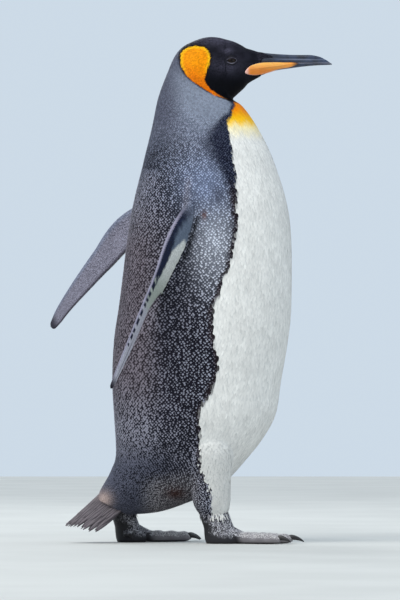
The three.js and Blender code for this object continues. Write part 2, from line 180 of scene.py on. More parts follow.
def spline_at(rows, key):
    """The same curve, looked up by the rows' first number."""
    rows, key = np.asarray(rows, float), np.atleast_1d(np.asarray(key, float))
    i = np.clip(np.searchsorted(rows[:, 0], key, side="right") - 1, 0, len(rows) - 2)
    return spline(rows, i + (key - rows[i, 0]) / (rows[i + 1, 0] - rows[i, 0]))


def rounded(angle, squareness=2.0):
    c, s = np.cos(angle), np.sin(angle)
    return (np.sign(c) * np.abs(c) ** (2 / squareness), np.sign(s) * np.abs(s) ** (2 / squareness))


def unit(v):
    return v / np.maximum(np.linalg.norm(v, axis=-1, keepdims=True), 1e-9)


def smooth(low, high, v):
    t = np.clip((v - low) / (high - low), 0, 1)
    return t * t * (3 - 2 * t)


def hill(*parts):
    """1 where every value is at its middle, less beside it. A part is a value, its middle and its width."""
    return np.exp(-sum(((v - middle) / width) ** 2 for v, middle, width in parts))


def body_points(at, angle):
    back_x, back_z, front_x, front_z, half = spline(BODY, at).T
    zero, under = np.zeros_like(back_x), np.interp(at, *BODY_COAT)
    back = np.stack([back_x, zero, back_z], 1)
    reach = np.stack([front_x, zero, front_z], 1) - back
    depth = np.linalg.norm(reach, axis=1) / 2
    c, s = rounded(angle, BODY_SQUARENESS)
    points = back + reach / 2 + unit(reach) * (c * (depth - under))[:, None]
    points[:, 1] += s * (half - under)
    return points


def leg_points(side, at, angle):
    sign, rows = LEGS[side]
    x, y, z, depth, half = spline(rows, at).T
    c, s = rounded(angle, LEG_SQUARENESS)
    return np.stack([x + c * (depth - LEG_COAT), sign * y + s * (half - LEG_COAT), z], 1)


class Midline:
    """A centripetal curve through points, looked up by its share of the length."""

    def __init__(self, path, samples=900):
        p = np.asarray(path, float)
        p = np.vstack([2 * p[0] - p[1], p, 2 * p[-1] - p[-2]])
        t = np.linspace(0, len(p) - 3, samples)
        i = np.minimum(t.astype(int), len(p) - 4)
        w = (t - i)[:, None]
        a, b, c, d = p[i], p[i + 1], p[i + 2], p[i + 3]
        ta, tb, tc = (np.sqrt(np.linalg.norm(v - u, axis=1))[:, None] for u, v in ((a, b), (b, c), (c, d)))
        m0 = ((b - a) / ta - (c - a) / (ta + tb) + (c - b) / tb) * tb
        m1 = ((c - b) / tb - (d - b) / (tb + tc) + (d - c) / tc) * tb
        self.points = b + m0 * w + (3 * (c - b) - 2 * m0 - m1) * w**2 + (2 * (b - c) + m0 + m1) * w**3
        run = np.linalg.norm(np.diff(self.points, axis=0), axis=1)
        self.share = np.concatenate([[0], np.cumsum(run)])
        self.length = self.share[-1]
        self.share /= self.length
        self.ways = unit(np.gradient(self.points, axis=0))

    def at(self, share):
        pick = lambda v: np.stack([np.interp(share, self.share, v[:, k]) for k in range(3)], 1)
        return pick(self.points), unit(pick(self.ways))


MIDLINES = {side: Midline(spec["path"]) for side, spec in FLIPPERS.items()}


def flipper_axes(side, share):
    """Middle of the flipper, the way to its tip, the way to its trailing edge, and its flat's normal."""
    middle, along = MIDLINES[side].at(share)
    in_view = unit(np.stack([-along[:, 2], 0 * share, along[:, 0]], 1))
    flat = np.cross(along, in_view)
    flat *= np.where(flat[:, 1:2] * (1 if side == "right" else -1) < 0, -1, 1)
    turn = np.radians(spline_at(FLIPPERS[side]["spin"], share)[:, 1:])
    back = in_view * np.sin(turn) + flat * np.cos(turn)
    return middle, along, back, unit(np.cross(back, along))


def flipper_points(side, share, angle):
    _, chord, thick = spline_at(FLIPPER_ROWS, share).T
    middle, _, back, face = flipper_axes(side, share)
    ahead, up = rounded(angle, FLIPPER_SQUARENESS)
    across = -ahead
    taper = 1 + (FLIPPER_TAPER - 1) * (across + 1) / 2
    broader = FLIPPERS[side]["broader"] * smooth(0, 0.12, share) * smooth(0.55, 0.4, share)
    middle = middle + back * (0.3 * np.maximum(0, share - 0.9) * chord)[:, None]
    half = np.maximum(taper * thick / 2 - FLIPPER_COAT, FLIPPER_LEAST)
    reach = across * (chord / 2 - FLIPPER_COAT) * (1 + broader * (across > 0))
    return middle + back * reach[:, None] + face * (up * half)[:, None]


def tail_point(across, share):
    way = unit(TAIL["along"] + np.outer(TAIL["spread"] * across, [0, 1, 0]))
    start = (TAIL["root"] + np.outer(TAIL["half"] * across, [0, 1, 0])
             + np.outer(TAIL["droop"] * across**2, TAIL["down"]))
    return start + way * (share * (TAIL["length"] - TAIL["shorter"] * across**2))[:, None]


def tail_frame(across, share, step=0.01):
    """Place on the tail's fan, the way across it and up from it."""
    over = unit(tail_point(across + step, share) - tail_point(across - step, share))
    way = unit(tail_point(across, share + step) - tail_point(across, share))
    normal = np.cross(over, way)
    return tail_point(across, share), over, normal * np.sign(normal[:, 2:3])


def rings_of(function, count, sides, to=1.0, start=0.0):
    """Points of a form on a grid of places and angles, as an array (count, sides, 3)."""
    at, angle = np.meshgrid(np.linspace(start, to, count),
                            np.linspace(0, 2 * np.pi, sides, endpoint=False), indexing="ij")
    return function(at.ravel(), angle.ravel()).reshape(count, sides, 3)


# ---------- meshes


def linked(name, data):
    made = bpy.data.objects.new(name, data)
    bpy.context.scene.collection.objects.link(made)
    return made


def make_mesh(name, points, faces):
    """An object from points in millimetres and faces of one size, or a list of such sets of faces."""
    faces = [np.asarray(f, np.int32) for f in (faces if isinstance(faces, list) else [faces])]
    mesh = bpy.data.meshes.new(name)
    points = (np.asarray(points, float) + SHIFT) * MM
    mesh.vertices.add(len(points))
    mesh.vertices.foreach_set("co", points.astype(np.float32).ravel())
    corners = np.concatenate([f.ravel() for f in faces])
    sizes = np.concatenate([np.full(len(f), f.shape[1]) for f in faces])
    mesh.loops.add(len(corners))
    mesh.loops.foreach_set("vertex_index", corners)
    mesh.polygons.add(len(sizes))
    mesh.polygons.foreach_set("loop_start", np.concatenate([[0], np.cumsum(sizes)[:-1]]).astype(np.int32))
    mesh.update(calc_edges=True)
    mesh.validate()
    mesh.shade_smooth()
    return linked(name, mesh)


def ring_faces(count, sides, closed=True):
    """Quads that join rings of points."""
    r, s = np.meshgrid(np.arange(count - 1), np.arange(sides if closed else sides - 1), indexing="ij")
    n = (s + 1) % sides
    a, b = r * sides, (r + 1) * sides
    return np.stack([a + s, a + n, b + n, b + s], -1).reshape(-1, 4)


def lofted(name, *forms):
    """An object made of closed forms, each through its own rings of points."""
    points, quads, caps, base = [], [], [], 0
    for rings in forms:
        count, sides, _ = rings.shape
        points += [rings.reshape(-1, 3), rings[:1].mean(1), rings[-1:].mean(1)]
        s = base + np.arange(sides)
        n = base + (np.arange(sides) + 1) % sides
        last, total = (count - 1) * sides, count * sides
        quads.append(ring_faces(count, sides) + base)
        caps += [np.stack([n, s, np.full(sides, base + total)], 1),
                 np.stack([last + s, last + n, np.full(sides, base + total + 1)], 1)]
        base += total + 2
    return make_mesh(name, np.vstack(points), [np.vstack(quads), np.vstack(caps)])


def read(items, name, size=1, kind=np.float32):
    """One property of all the vertices, corners or faces of a mesh."""
    values = np.zeros(len(items) * size, kind)
    items.foreach_get(name, values)
    return values.reshape(-1, size) if size > 1 else values


def coordinates(obj):
    return read(obj.data.vertices, "co", 3) / MM - SHIFT


def set_coordinates(obj, points, least=-np.inf):
    """Moves an object's points, none of them lower than the least height, and gives them back."""
    points[:, 2] = np.maximum(points[:, 2], least)
    obj.data.vertices.foreach_set("co", ((points + SHIFT) * MM).astype(np.float32).ravel())
    obj.data.update()
    return points


def vertex_normals(obj):
    return read(obj.data.vertices, "normal", 3)


def applied(obj, name, kind, **settings):
    """Replaces an object's mesh by the one that a modifier makes."""
    modifier = obj.modifiers.new(name, kind)
    for key, value in settings.items():
        setattr(modifier, key, value)
    old = obj.data
    mesh = bpy.data.meshes.new_from_object(obj.evaluated_get(bpy.context.evaluated_depsgraph_get()))
    obj.modifiers.clear()
    obj.data = mesh
    bpy.data.meshes.remove(old)
    mesh.shade_smooth()


def attributes(obj, **values):
    """Numbers or colours of an object's points, which its material reads."""
    for name, v in values.items():
        v = np.asarray(v, np.float32)
        is_colour = v.ndim == 2
        if is_colour:
            v = np.hstack([v, np.ones((len(v), 1), np.float32)])
        made = obj.data.attributes.new(name, "FLOAT_COLOR" if is_colour else "FLOAT", "POINT")
        made.data.foreach_set("color" if is_colour else "value", v.ravel())


def lay_on_map(obj, uv):
    """Gives an object's points their places on the map that its looks are baked to."""
    corners = read(obj.data.loops, "vertex_index", kind=np.int32)
    obj.data.uv_layers.new(name="OFBake").data.foreach_set("uv", uv[corners].astype(np.float32).ravel())


class Surface:
    """A mesh to lay things on: nearest points and smooth normals."""

    def __init__(self, obj):
        self.tree = BVHTree.FromObject(obj, bpy.context.evaluated_depsgraph_get())
        totals = read(obj.data.polygons, "loop_total", kind=np.int32)
        face = np.repeat(np.arange(len(totals)), totals)
        normals = vertex_normals(obj)[read(obj.data.loops, "vertex_index", kind=np.int32)]
        self.normals = unit(np.stack([np.bincount(face, normals[:, k], len(totals)) for k in range(3)], 1))

    def nearest(self, points):
        points = np.asarray(points, float)
        near, face, far = np.empty_like(points), np.empty(len(points), int), np.empty(len(points))
        for i, p in enumerate(((points + SHIFT) * MM).tolist()):
            near[i], _, face[i], far[i] = self.tree.find_nearest(p)
        return near / MM - SHIFT, self.normals[face], far / MM


class Nearer:
    """Two surfaces to lay things on: each point goes to the nearer one."""

    def __init__(self, first, second):
        self.first, self.second = first, second

    def nearest(self, points):
        a, b = self.first.nearest(points), self.second.nearest(points)
        take = b[2] < a[2]
        return (np.where(take[:, None], b[0], a[0]), np.where(take[:, None], b[1], a[1]),
                np.where(take, b[2], a[2]))


def surface_of(rings):
    """A surface to lay things on through rings of points, which leaves no object behind."""
    mould = lofted("mould", rings)
    surface = Surface(mould)
    bpy.data.objects.remove(mould)
    return surface


def piece(obj, slot, *nodes):
    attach(obj, "root")
    if nodes:
        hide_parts(*nodes)
    return obj


# ---------- colours and markings


def linear(colour):
    """A colour in linear light. One that is an array is so already."""
    if not isinstance(colour, tuple):
        return colour
    v = np.array(colour) / 255
    return np.where(v <= 0.04045, v / 12.92, ((v + 0.055) / 1.055) ** 2.4)


def blend(a, b, t):
    a, b = linear(a), linear(b)
    return a + (b - a) * np.asarray(t)[..., None]


class Paint:
    """Root and tip colours of feathers, laid on one over the other."""

    def __init__(self, root, tip):
        self.root, self.tip = linear(root), linear(tip)

    def add(self, where, root, tip, root_share=1.0, tip_share=None):
        """Adds colours where they belong, each in its share. A tip without a share takes the root's."""
        self.root = blend(self.root, root, root_share * where)
        self.tip = blend(self.tip, tip, (root_share if tip_share is None else tip_share) * where)


INK = (8, 9, 14)
HOOD, HOOD_TIP = (12, 13, 20), (78, 76, 92)
NAVY = (18, 22, 38)
SILVER, SILVER_TIP = (80, 86, 104), (142, 149, 168)
SLATE, SLATE_TIP = (30, 30, 40), (164, 167, 182)
BROWN, BROWN_TIP = (50, 44, 50), (106, 98, 106)
WHITE, WHITE_TIP = (214, 214, 211), (226, 225, 221)
CREAM, YELLOW, GOLD, ORANGE = (250, 232, 168), (252, 196, 26), (244, 150, 8), (230, 114, 8)
BUFF = (188, 166, 158)

# Where the white of the front begins, on the bird's side: x at each z.
FRONT_EDGE = np.array([
    [0, 38], [60, 38], [77, 38], [95, 33], [112, 30], [120, 24], [129, 20], [164, 18], [181, 16], [215, 14],
    [233, 17], [241, 21], [250, 30], [267, 36], [276, 40], [303, 49], [336, 45], [353, 42], [371, 40],
    [405, 39], [422, 45], [440, 54], [457, 57], [474, 64], [491, 72], [509, 74], [526, 78], [543, 79],
    [560, 81], [595, 80], [612, 80], [650, 78], [667, 75], [694, 70], [711, 68], [723, 65], [734, 66],
    [744, 70], [754, 75], [765, 78], [773, 73], [790, 60],
])
# How wide the dark band along that edge is, at each z.
BAND = np.array([[0, 3], [300, 4], [500, 5], [560, 6], [600, 9], [640, 20], [675, 38], [700, 42], [725, 22],
                 [745, 9], [760, 4], [772, 1.5]])
# The ear patch, as an outline (x, z) that runs round it and out along the fold of the throat.
EAR_PATCH = np.array([
    (-16, 856), (-11, 862), (-4, 866), (9, 869), (23, 867), (31, 861), (35, 850), (34, 839), (30, 827),
    (27, 815), (25, 808), (28, 800), (36, 791), (48, 783), (60, 777), (72, 774), (66, 773), (52, 777),
    (42, 781), (30, 788), (18, 796), (5, 805), (-5, 814), (-12, 825), (-16, 835), (-17, 848),
])
# The hood's rear edge on the nape, where black gives way to silver: x at each z.
NAPE_EDGE = np.array([[760, 90], [773, 66], [777, 52], [788, 30], [805, 5], [814, -5], [825, -12],
                      [835, -16], [848, -18], [856, -19], [864, -14], [872, -8], [890, -2]])
# On a flipper's inner face: width of the navy band at shares of the length, then the blotches that it
# breaks into, each a share of the length and half its own length.
INNER_BAND = np.array([[0, -0.35], [0.12, -0.45], [0.19, -0.6], [0.25, -0.66], [0.3, -0.5], [0.36, -0.38],
                       [0.5, -0.42], [0.7, -0.5], [1, -0.5]])
BLOTCHES = [(0.506, 0.016), (0.546, 0.010), (0.576, 0.008), (0.6, 0.007), (0.636, 0.014), (0.678, 0.016),
            (0.722, 0.010), (0.752, 0.012), (0.79, 0.005)]


def outline_distance(points, outline):
    """Distance to a closed outline, below zero inside it."""
    best, inside = np.full(len(points), 1e9), np.zeros(len(points), bool)
    for p, q in zip(outline, np.roll(outline, -1, 0)):
        d = q - p
        t = np.clip(((points - p) @ d) / (d @ d), 0, 1)
        best = np.minimum(best, np.linalg.norm(points - p - t[:, None] * d, axis=1))
        cross = (p[1] > points[:, 1]) != (q[1] > points[:, 1])
        with np.errstate(divide="ignore", invalid="ignore"):
            inside ^= cross & (points[:, 0] < p[0] + (points[:, 1] - p[1]) / d[1] * d[0])
    return np.where(inside, -best, best)


def ripple(points, size, seed):
    """Smooth noise from -1 to 1 made of a few crossing waves."""
    turn, total = np.random.default_rng(seed), np.zeros(len(points))
    for k in range(5):
        way = turn.normal(size=3)
        total += np.sin(points @ (way / np.linalg.norm(way)) * (2 * np.pi / size) * (1 + 0.35 * k)
                        + turn.uniform(0, 6.28)) / (1 + 0.4 * k)
    return np.clip(total / 2.2, -1, 1)


def fluffy(x):
    """Where the coat is loose fluff: between the legs and under the tail."""
    return smooth(34, -10, x) * smooth(-95, -50, x)


def markings(points, loose=0.0):
    """Root and tip colour of feathers at points on head, neck, trunk and legs, and where they are white."""
    x, _, z = points.T
    wide, fine = ripple(points, 95, 3), ripple(points, 24, 5)
    coat = Paint(SLATE, SLATE_TIP)

    # Back: brown-grey behind, bluish over the shoulder and the rump, paler flecks on the flank.
    upper = smooth(560, 690, z + 24 * wide) * smooth(770, 700, z) * smooth(10, -50, x)
    coat.add(upper, (19, 21, 29), (76, 80, 98), 0.85)
    coat.add(smooth(690, 590, z + 24 * wide) * smooth(40, -10, x), INK, (118, 116, 128), 0, 0.75)
    coat.add(smooth(-20, -90, x) * smooth(190, 300, z) * smooth(620, 500, z), BROWN, BROWN_TIP, 0.9, 0.85)
    coat.add(smooth(200, 130, z) * smooth(10, -60, x), (24, 25, 33), (74, 77, 92), 0.9)
    coat.add(hill((x, 42, 36), (z, 525, 72)), (138, 142, 154), (218, 223, 232), 0.9, 0.85)
    lower = smooth(430, 350, z) * smooth(-60, 10, x) * smooth(120, 200, z)
    coat.add(lower, (22, 22, 30), (124, 126, 138), 0.7, 0.55)
    shoulder = hill((x, 28, 44), (z, 628, 52))
    coat.add(np.sqrt(shoulder), INK, (148, 162, 192), 0, 0.95)
    coat.add(shoulder, (104, 114, 140), INK, 0.9, 0)
    ridge = hill((x + 3 + 0.12 * (622 - z), 0, 6)) * smooth(645, 620, z) * smooth(565, 585, z)
    coat.add(ridge, (104, 104, 118), (166, 166, 182), 0.6, 0.7)
    coat.add(hill((x, 47, 9), (z, 604, 13)), (58, 62, 78), (76, 80, 98), 0.7)

    # The fold of the armpit, behind and under the flipper: a black line that is painted shadow, partly a real
    # dark gap, with a rusty stain at its top.
    down = np.clip((566 - z) / 80, 0, 1)
    # Black line beside the flipper's trailing edge: painted shadow in the fold.
    coat.add(hill((x, 14 - 26 * down, 4.5)) * smooth(470, 500, z) * smooth(576, 562, z), INK, INK, 0.9, 0.85)
    coat.add(hill((x, 25, 4), (z, 568, 7)), (92, 50, 34), (132, 84, 60), 0.7)

    # Neck: silver, with less and less contrast towards the throat, and darker behind.
    neck = smooth(650, 745, z + 0.35 * (x + 20) + 14 * wide)
    coat.add(neck, SILVER, SILVER_TIP, 0.95, 1)
    coat.add(smooth(705, 765, z + 0.45 * (x - 20) + 8 * wide), (122, 130, 147), (136, 144, 160))
    nape = np.maximum(smooth(780, 860, z - 0.25 * x), 0.95 * smooth(0, -45, x) * neck)
    coat.add(nape, (62, 64, 78), (100, 103, 120), 0.95, 1)

    # Navy band along the edge of the white.
    ahead = x - np.interp(z, *FRONT_EDGE.T) + 2.2 * fine + loose
    band = np.interp(z, *BAND.T)
    dark = smooth(-band - 4 - 0.35 * band, -band * 0.6, ahead + 2.5 * wide) * smooth(60, 130, z)
    low = smooth(640, 590, z)
    coat.add(dark, blend(NAVY, (34, 28, 32), low), blend((40, 46, 68), (78, 70, 76), low), 1, 0.9)

    # Fluff between the legs and under the tail.
    coat.add(smooth(138, 100, z - 0.15 * x) * fluffy(x), (84, 80, 84), (178, 174, 176), 0.6)
    coat.add(hill((x, -26, 17), (z, 88, 10)), (50, 32, 30), (84, 58, 54))
    coat.add(hill((x, -150, 14), (z, 76, 14)), BUFF, linear(BUFF) * 1.1, 0.6, 0.8)

    # White front, yellow to orange on the upper breast.
    shade = 0.025 * wide + 0.045 * ripple(points * [1, 1, 0.05], 8, 12)
    front = Paint(linear(WHITE) * (1 + shade)[:, None], linear(WHITE_TIP) * (1 + 0.8 * shade)[:, None])
    height = z + 3 * fine
    front.add(smooth(700, 736, height), CREAM, CREAM, 0.9)
    front.add(smooth(723, 742, height), YELLOW, YELLOW)
    front.add(smooth(736, 764, height), ORANGE, (244, 140, 6))
    white = smooth(-1.2, 1.2, ahead)
    coat.add(white, front.root, front.tip)

    # Hood: black with a purple-brown bloom on crown and face; its paler tips on the crown, below the eye and
    # on the brow are a painted sheen highlight.
    hood = smooth(-5, 3, x - np.interp(z, *NAPE_EDGE.T) + 1.0 + 1.2 * fine + loose) * smooth(768, 774, z)
    bloom = np.clip(0.5 + 0.5 * wide + 0.3 * fine, 0, 1) * smooth(800, 830, z)
    crown = smooth(862, 884, z) * smooth(-30, 10, x) * smooth(96, 60, x)
    face, brow = hill((x, 68, 24), (z, 836, 13)), hill((x, 67, 10), (z, 860, 5))
    cap = Paint(HOOD, (13, 14, 22))
    cap.add(bloom, (26, 25, 34), INK, 1, 0)
    # Paler tips on crown, face and brow: painted sheen highlight.
    cap.add(np.clip(0.2 * bloom + 0.75 * crown + 0.45 * face + 0.8 * brow, 0, 1), INK, HOOD_TIP, 0, 1)
    cap.add(smooth(818, 800, z), INK, INK, 0.8, 0.9)
    coat.add(hood, cap.root, cap.tip)

    # Ear patch: gold, yellower at its rim in front and above, deep orange where it narrows.
    from_ear = outline_distance(np.stack([x, z], 1), EAR_PATCH) + 0.5 * fine - 0.3 * loose
    coat.add(smooth(5.2, 0.6, from_ear) * hood, INK, INK)
    fading = smooth(38, 66, x)
    patch = blend(GOLD, ORANGE, np.clip(smooth(845, 790, z + 4 * wide) + 0.12 * fine, 0, 1))
    patch = blend(patch, YELLOW, 0.85 * smooth(-7, -0.5, from_ear) * smooth(810, 840, z))
    patch = blend(patch, (104, 84, 44), 0.85 * fading)
    coat.add(smooth(0.7, -0.7, from_ear + 0.9 * fading) * (z > 771), patch * 0.86, patch)
    return coat.root, coat.tip, white


def flipper_markings(share, across, ventral, points):
    """Root and tip colour on a flipper. across is -1 at its leading edge, ventral 1 on its inner face."""
    fine, wide = ripple(points, 15, 8), ripple(points, 60, 9)
    # Outer face: mauve slate, bluer in front, darker behind and at the tip.
    outer = Paint((58, 56, 68), (142, 140, 156))
    outer.add(smooth(-0.5, -0.95, across), (74, 84, 104), (116, 127, 150), 0.7)
    rows = smooth(0.1, 0.8, np.sin(across * 21 + share * 26 + fine)) * smooth(0.5, 0.25, share)
    rear_rows = 0.6 * smooth(0.3, 0.9, np.sin(across * 30 + 0.7 * fine)) * smooth(0.35, 0.75, across)
    outer.add(np.maximum(rows * smooth(-0.1, 0.5, across), rear_rows), (30, 28, 36), (64, 58, 70), 0.75)
    outer.add(smooth(0.7, 0.95, across), (36, 34, 42), (70, 66, 78))
    # Inner face: slate by the shoulder, then white, with navy along the leading edge, broken into blotches.
    soft = np.interp(share, [0.2, 0.3], [0.2, 0.09])
    band = smooth(1, -1, (across - np.interp(share, *INNER_BAND.T) + 0.06 * fine) / soft)
    blotches = [smooth(1.25, 0.75, np.abs(share - at) / long + 0.25 * fine) for at, long in BLOTCHES]
    band = band * np.maximum(smooth(0.5, 0.46, share + 0.02 * fine), np.max(blotches, 0))
    pale = blend((222, 224, 220), (204, 203, 216), smooth(0.54, 0.62, share) * 0.95)
    # A greenish grey across the middle of the white: painted shade, tinted green by reflected light.
    pale = blend(pale, (168, 182, 168), smooth(0.38, 0.5, share) * smooth(0.62, 0.56, share) * 0.6)
    slate = smooth(0.245, 0.215, share + 0.21 * np.minimum(across, -0.05) + 0.006 * fine)
    pale = blend(pale, (106, 118, 136), slate)
    inner = Paint(pale * 0.86, pale)
    inner.add(band, NAVY, (30, 38, 66))
    inner.add(hill((across, 0.05, 0.15)) * smooth(0.7, 0.8, share), (84, 80, 96), (100, 96, 112), 0.75)
    outer.add(ventral, inner.root, inner.tip)
    # A pale line along the very leading edge of the inner face: painted highlight where the rounded edge
    # catches the light.
    line = smooth(-0.9, -0.98, across) * smooth(0.08, 0.24, share)
    outer.add(line * ventral, (150, 144, 164), (150, 148, 168))
    outer.add(smooth(0.93, 0.985, share + 0.01 * wide), (30, 30, 38), (52, 50, 62))
    return outer.root, outer.tip


# ---------- skin


def tail_core(count=40, under=2.4):
    """Rings of the flesh under the tail feathers, a flattened fan."""
    rings, across = [], np.linspace(-0.9, 0.9, count)
    for share in np.linspace(-0.12, 0.62, 14):
        thick = np.interp(share, [-0.12, 0, 0.3, 0.62], [9, 7, 4, 1.2])
        spot, _, normal = tail_frame(across, np.full(count, share))
        rings.append(np.vstack([spot - normal * under, (spot - normal * (under + thick))[::-1]]))
    return np.array(rings)


def flipper_place(side, points, samples=240, block=20000):
    """Share of the length, place across, side of the flat and distance beyond the flipper, of points."""
    middle = flipper_axes(side, np.linspace(0, 1, samples))[0]
    share = np.empty(len(points))
    for start in range(0, len(points), block):
        far = ((points[start:start + block, None] - middle[None]) ** 2).sum(-1)
        share[start:start + block] = far.argmin(1) / (samples - 1)
    middle, along, back, face = flipper_axes(side, share)
    _, chord, thick = spline_at(FLIPPER_ROWS, share).T
    offset = points - middle
    across = (offset * back).sum(1) / (chord / 2)
    up = (offset * face).sum(1)
    beyond = np.linalg.norm(np.stack([
        np.maximum(np.abs(across) - 1, 0) * chord / 2, np.maximum(np.abs(up) - thick / 2, 0),
        np.maximum(np.abs((offset * along).sum(1)) - 3, 0)], 1), axis=1)
    return share, across, up, beyond


def build_skin():
    legs = [rings_of(partial(leg_points, side), 40, 48, len(rows) - 1) for side, (_, rows) in LEGS.items()]
    flippers = [rings_of(partial(flipper_points, side), 150, 56, FLIPPER_TIP) for side in FLIPPERS]
    skin = lofted("skin", rings_of(body_points, 240, 112, BODY_END), *legs, *flippers, tail_core())
    applied(skin, "fuse", "REMESH", mode="VOXEL", voxel_size=SKIN_VOXEL * MM)
    points = coordinates(skin)
    thin = np.minimum(flipper_place("right", points)[3], flipper_place("left", points)[3])
    weight = np.round(np.maximum(smooth(6, 24, thin), 0.25), 1)
    group = skin.vertex_groups.new(name="soft")
    for level in np.unique(weight):
        group.add(np.flatnonzero(weight == level).tolist(), float(level), "REPLACE")
    applied(skin, "soften", "SMOOTH", factor=0.5, iterations=8, vertex_group="soft")
    skin.vertex_groups.clear()
    return skin


def skin_colours(points):
    """What the skin shows between the feathers: their root colour, lifted a little by the tips."""
    root, tip, _ = markings(points)
    shown = blend(root, tip, 0.2)
    for side in FLIPPERS:
        share, across, up, beyond = flipper_place(side, points)
        root, tip = flipper_markings(share, across, smooth(-0.4, 0.4, up * VENTRAL[side]), points)
        shown = blend(shown, blend(root, tip, 0.3), smooth(5, 2, beyond) * smooth(0.03, 0.14, share))
    return shown


def shaped(points, normals):
    """Skin with hollows at the eyes, brows, cheeks, a fold at the mouth's corner, and swollen shoulders."""
    x, y, z = points.T
    far, up = np.abs(y), normals[:, 2]
    shape = -1.9 * hill((np.hypot(x - EYE[0], z - EYE[2]), 2, 11)) * smooth(12, 20, far)
    shape += 1.7 * hill((x, 74, 17), (z, 858, 5)) * smooth(12, 20, far)
    shape += 1.0 * smooth(0.5, 0.9, up) * smooth(852, 862, z) * smooth(106, 84, x)
    shape -= 2.2 * hill((x, 92, 10)) * smooth(0.4, 0.8, up) * smooth(850, 860, z)
    shape += 1.3 * hill((x, 60, 17), (z, 823, 9)) * smooth(12, 20, far)
    shape -= 1.1 * hill((z - 841 + (112 - x) * 0.1, 0, 2.6)) * smooth(90, 100, x) * smooth(6, 12, far)
    shape -= 0.8 * hill((x, 104, 9), (z, 851, 4.5)) * smooth(8, 14, far)
    for side in FLIPPERS:
        root = MIDLINES[side].at(np.array([0.03]))[0]
        shape += 2.5 * hill((np.linalg.norm(points - root, axis=1), 0, 30))
    return points + normals * shape[:, None]


# +1 where the flat's normal points away from the white inner face, and -1 where it points the other way.
VENTRAL = {side: (1 if flipper_axes(side, np.array([0.5]))[3][0, 0] > 0 else -1) for side in FLIPPERS}

skin = build_skin()
attributes(skin, hue=skin_colours(set_coordinates(skin, shaped(coordinates(skin), vertex_normals(skin)))))
skin_surface = Surface(skin)
piece(skin, "body_feathers", "head", "neck", "trunk", "leg_right", "leg_left", "flipper_right",
      "flipper_left")

# ---------- feet

SCALE = 2.6  # how wide a scale of the foot is
SCALES = 400_000  # more than there are


def turned(points, degrees):
    c, s = math.cos(math.radians(degrees)), math.sin(math.radians(degrees))
    return (points.reshape(-1, 3) @ np.array([[c, s, 0], [-s, c, 0], [0, 0, 1]])).reshape(points.shape)


def placed(points, foot):
    return turned(points, foot["heading"]) + [*foot["ankle"], 0]


def limb_rings(rows, count, sides, stretch=1.0, wide=1.0, rough=lambda x, angle: 0):
    def points(at, angle):
        x, z, radius = spline(rows, at).T
        radius = np.maximum(radius, 0.3) * (1 + rough(x, angle))
        return np.stack([x * stretch, np.cos(angle) * radius * wide, z + np.sin(angle) * radius], 1)
    return rings_of(points, count, sides, len(rows) - 1)


def shank_points(spec, at, angle):
    x, z, depth, width = spline(SHANK, at).T
    c, s = rounded(angle)
    return np.stack([x + c * depth * spec["depth"], s * width, z], 1)


def hind_toe_points(spec, polar, angle):
    c, s = np.cos(polar) * HIND_TOE["radius"], np.sin(polar) * HIND_TOE["radius"]
    return np.stack([HIND_TOE["x"] + 1.2 * c, spec["inner"] * HIND_TOE["side"] + s * np.cos(angle),
                     HIND_TOE["z"] + s * np.sin(angle)], 1)


def webs(spec):
    """Rings of the thin skin between neighbouring toes, with a scooped front edge."""
    share = np.linspace(0, 1, 30)
    sag = np.sin(np.pi * share)
    for first, second in (("outer", "middle"), ("middle", "inner")):
        turn, reach = (a + (b - a) * share for a, b in zip(TOES[first], TOES[second]))
        angle = np.radians(turn * spec["inner"])
        rings = []
        for t in np.linspace(0.12, 1, 34):
            far = t * (WEB["length"] * reach * (1 - WEB["scoop"] * sag))
            high = np.interp(far, [10, 45, 100], [15, 9.5, 8.5]) - WEB["sag"] * sag
            top = np.stack([far * np.cos(angle), far * np.sin(angle), high], 1)
            rings.append(np.vstack([top, (top - [0, 0, WEB["thickness"]])[::-1]]))
        yield np.array(rings)


def foot_scales(points, normals, spec):
    """How far each point of a foot rises into its round scale, which scale that is, and its place."""
    local = turned(points - [*spec["ankle"], 0], -spec["heading"])
    top = np.clip(smooth(-0.15, 0.35, normals[:, 2]) + smooth(25, 45, points[:, 2]), 0, 1)
    spans = (np.arange(low, high, SCALE) for low, high in ((-60, 140), (-60, 60), (-6, 75)))
    seeds = np.stack(np.meshgrid(*spans, indexing="ij"), -1).reshape(-1, 3)
    seeds = seeds + np.random.default_rng(4).uniform(-0.36, 0.36, seeds.shape) * SCALE
    tree = KDTree(len(seeds))
    for i, p in enumerate(seeds):
        tree.insert(p, i)
    tree.balance()
    found = [tree.find_n(p, 2) for p in local]
    rise = np.array([second[2] - first[2] for first, second in found])
    return smooth(0.0, 1.1, rise) * top, np.array([first[1] for first, _ in found]), local


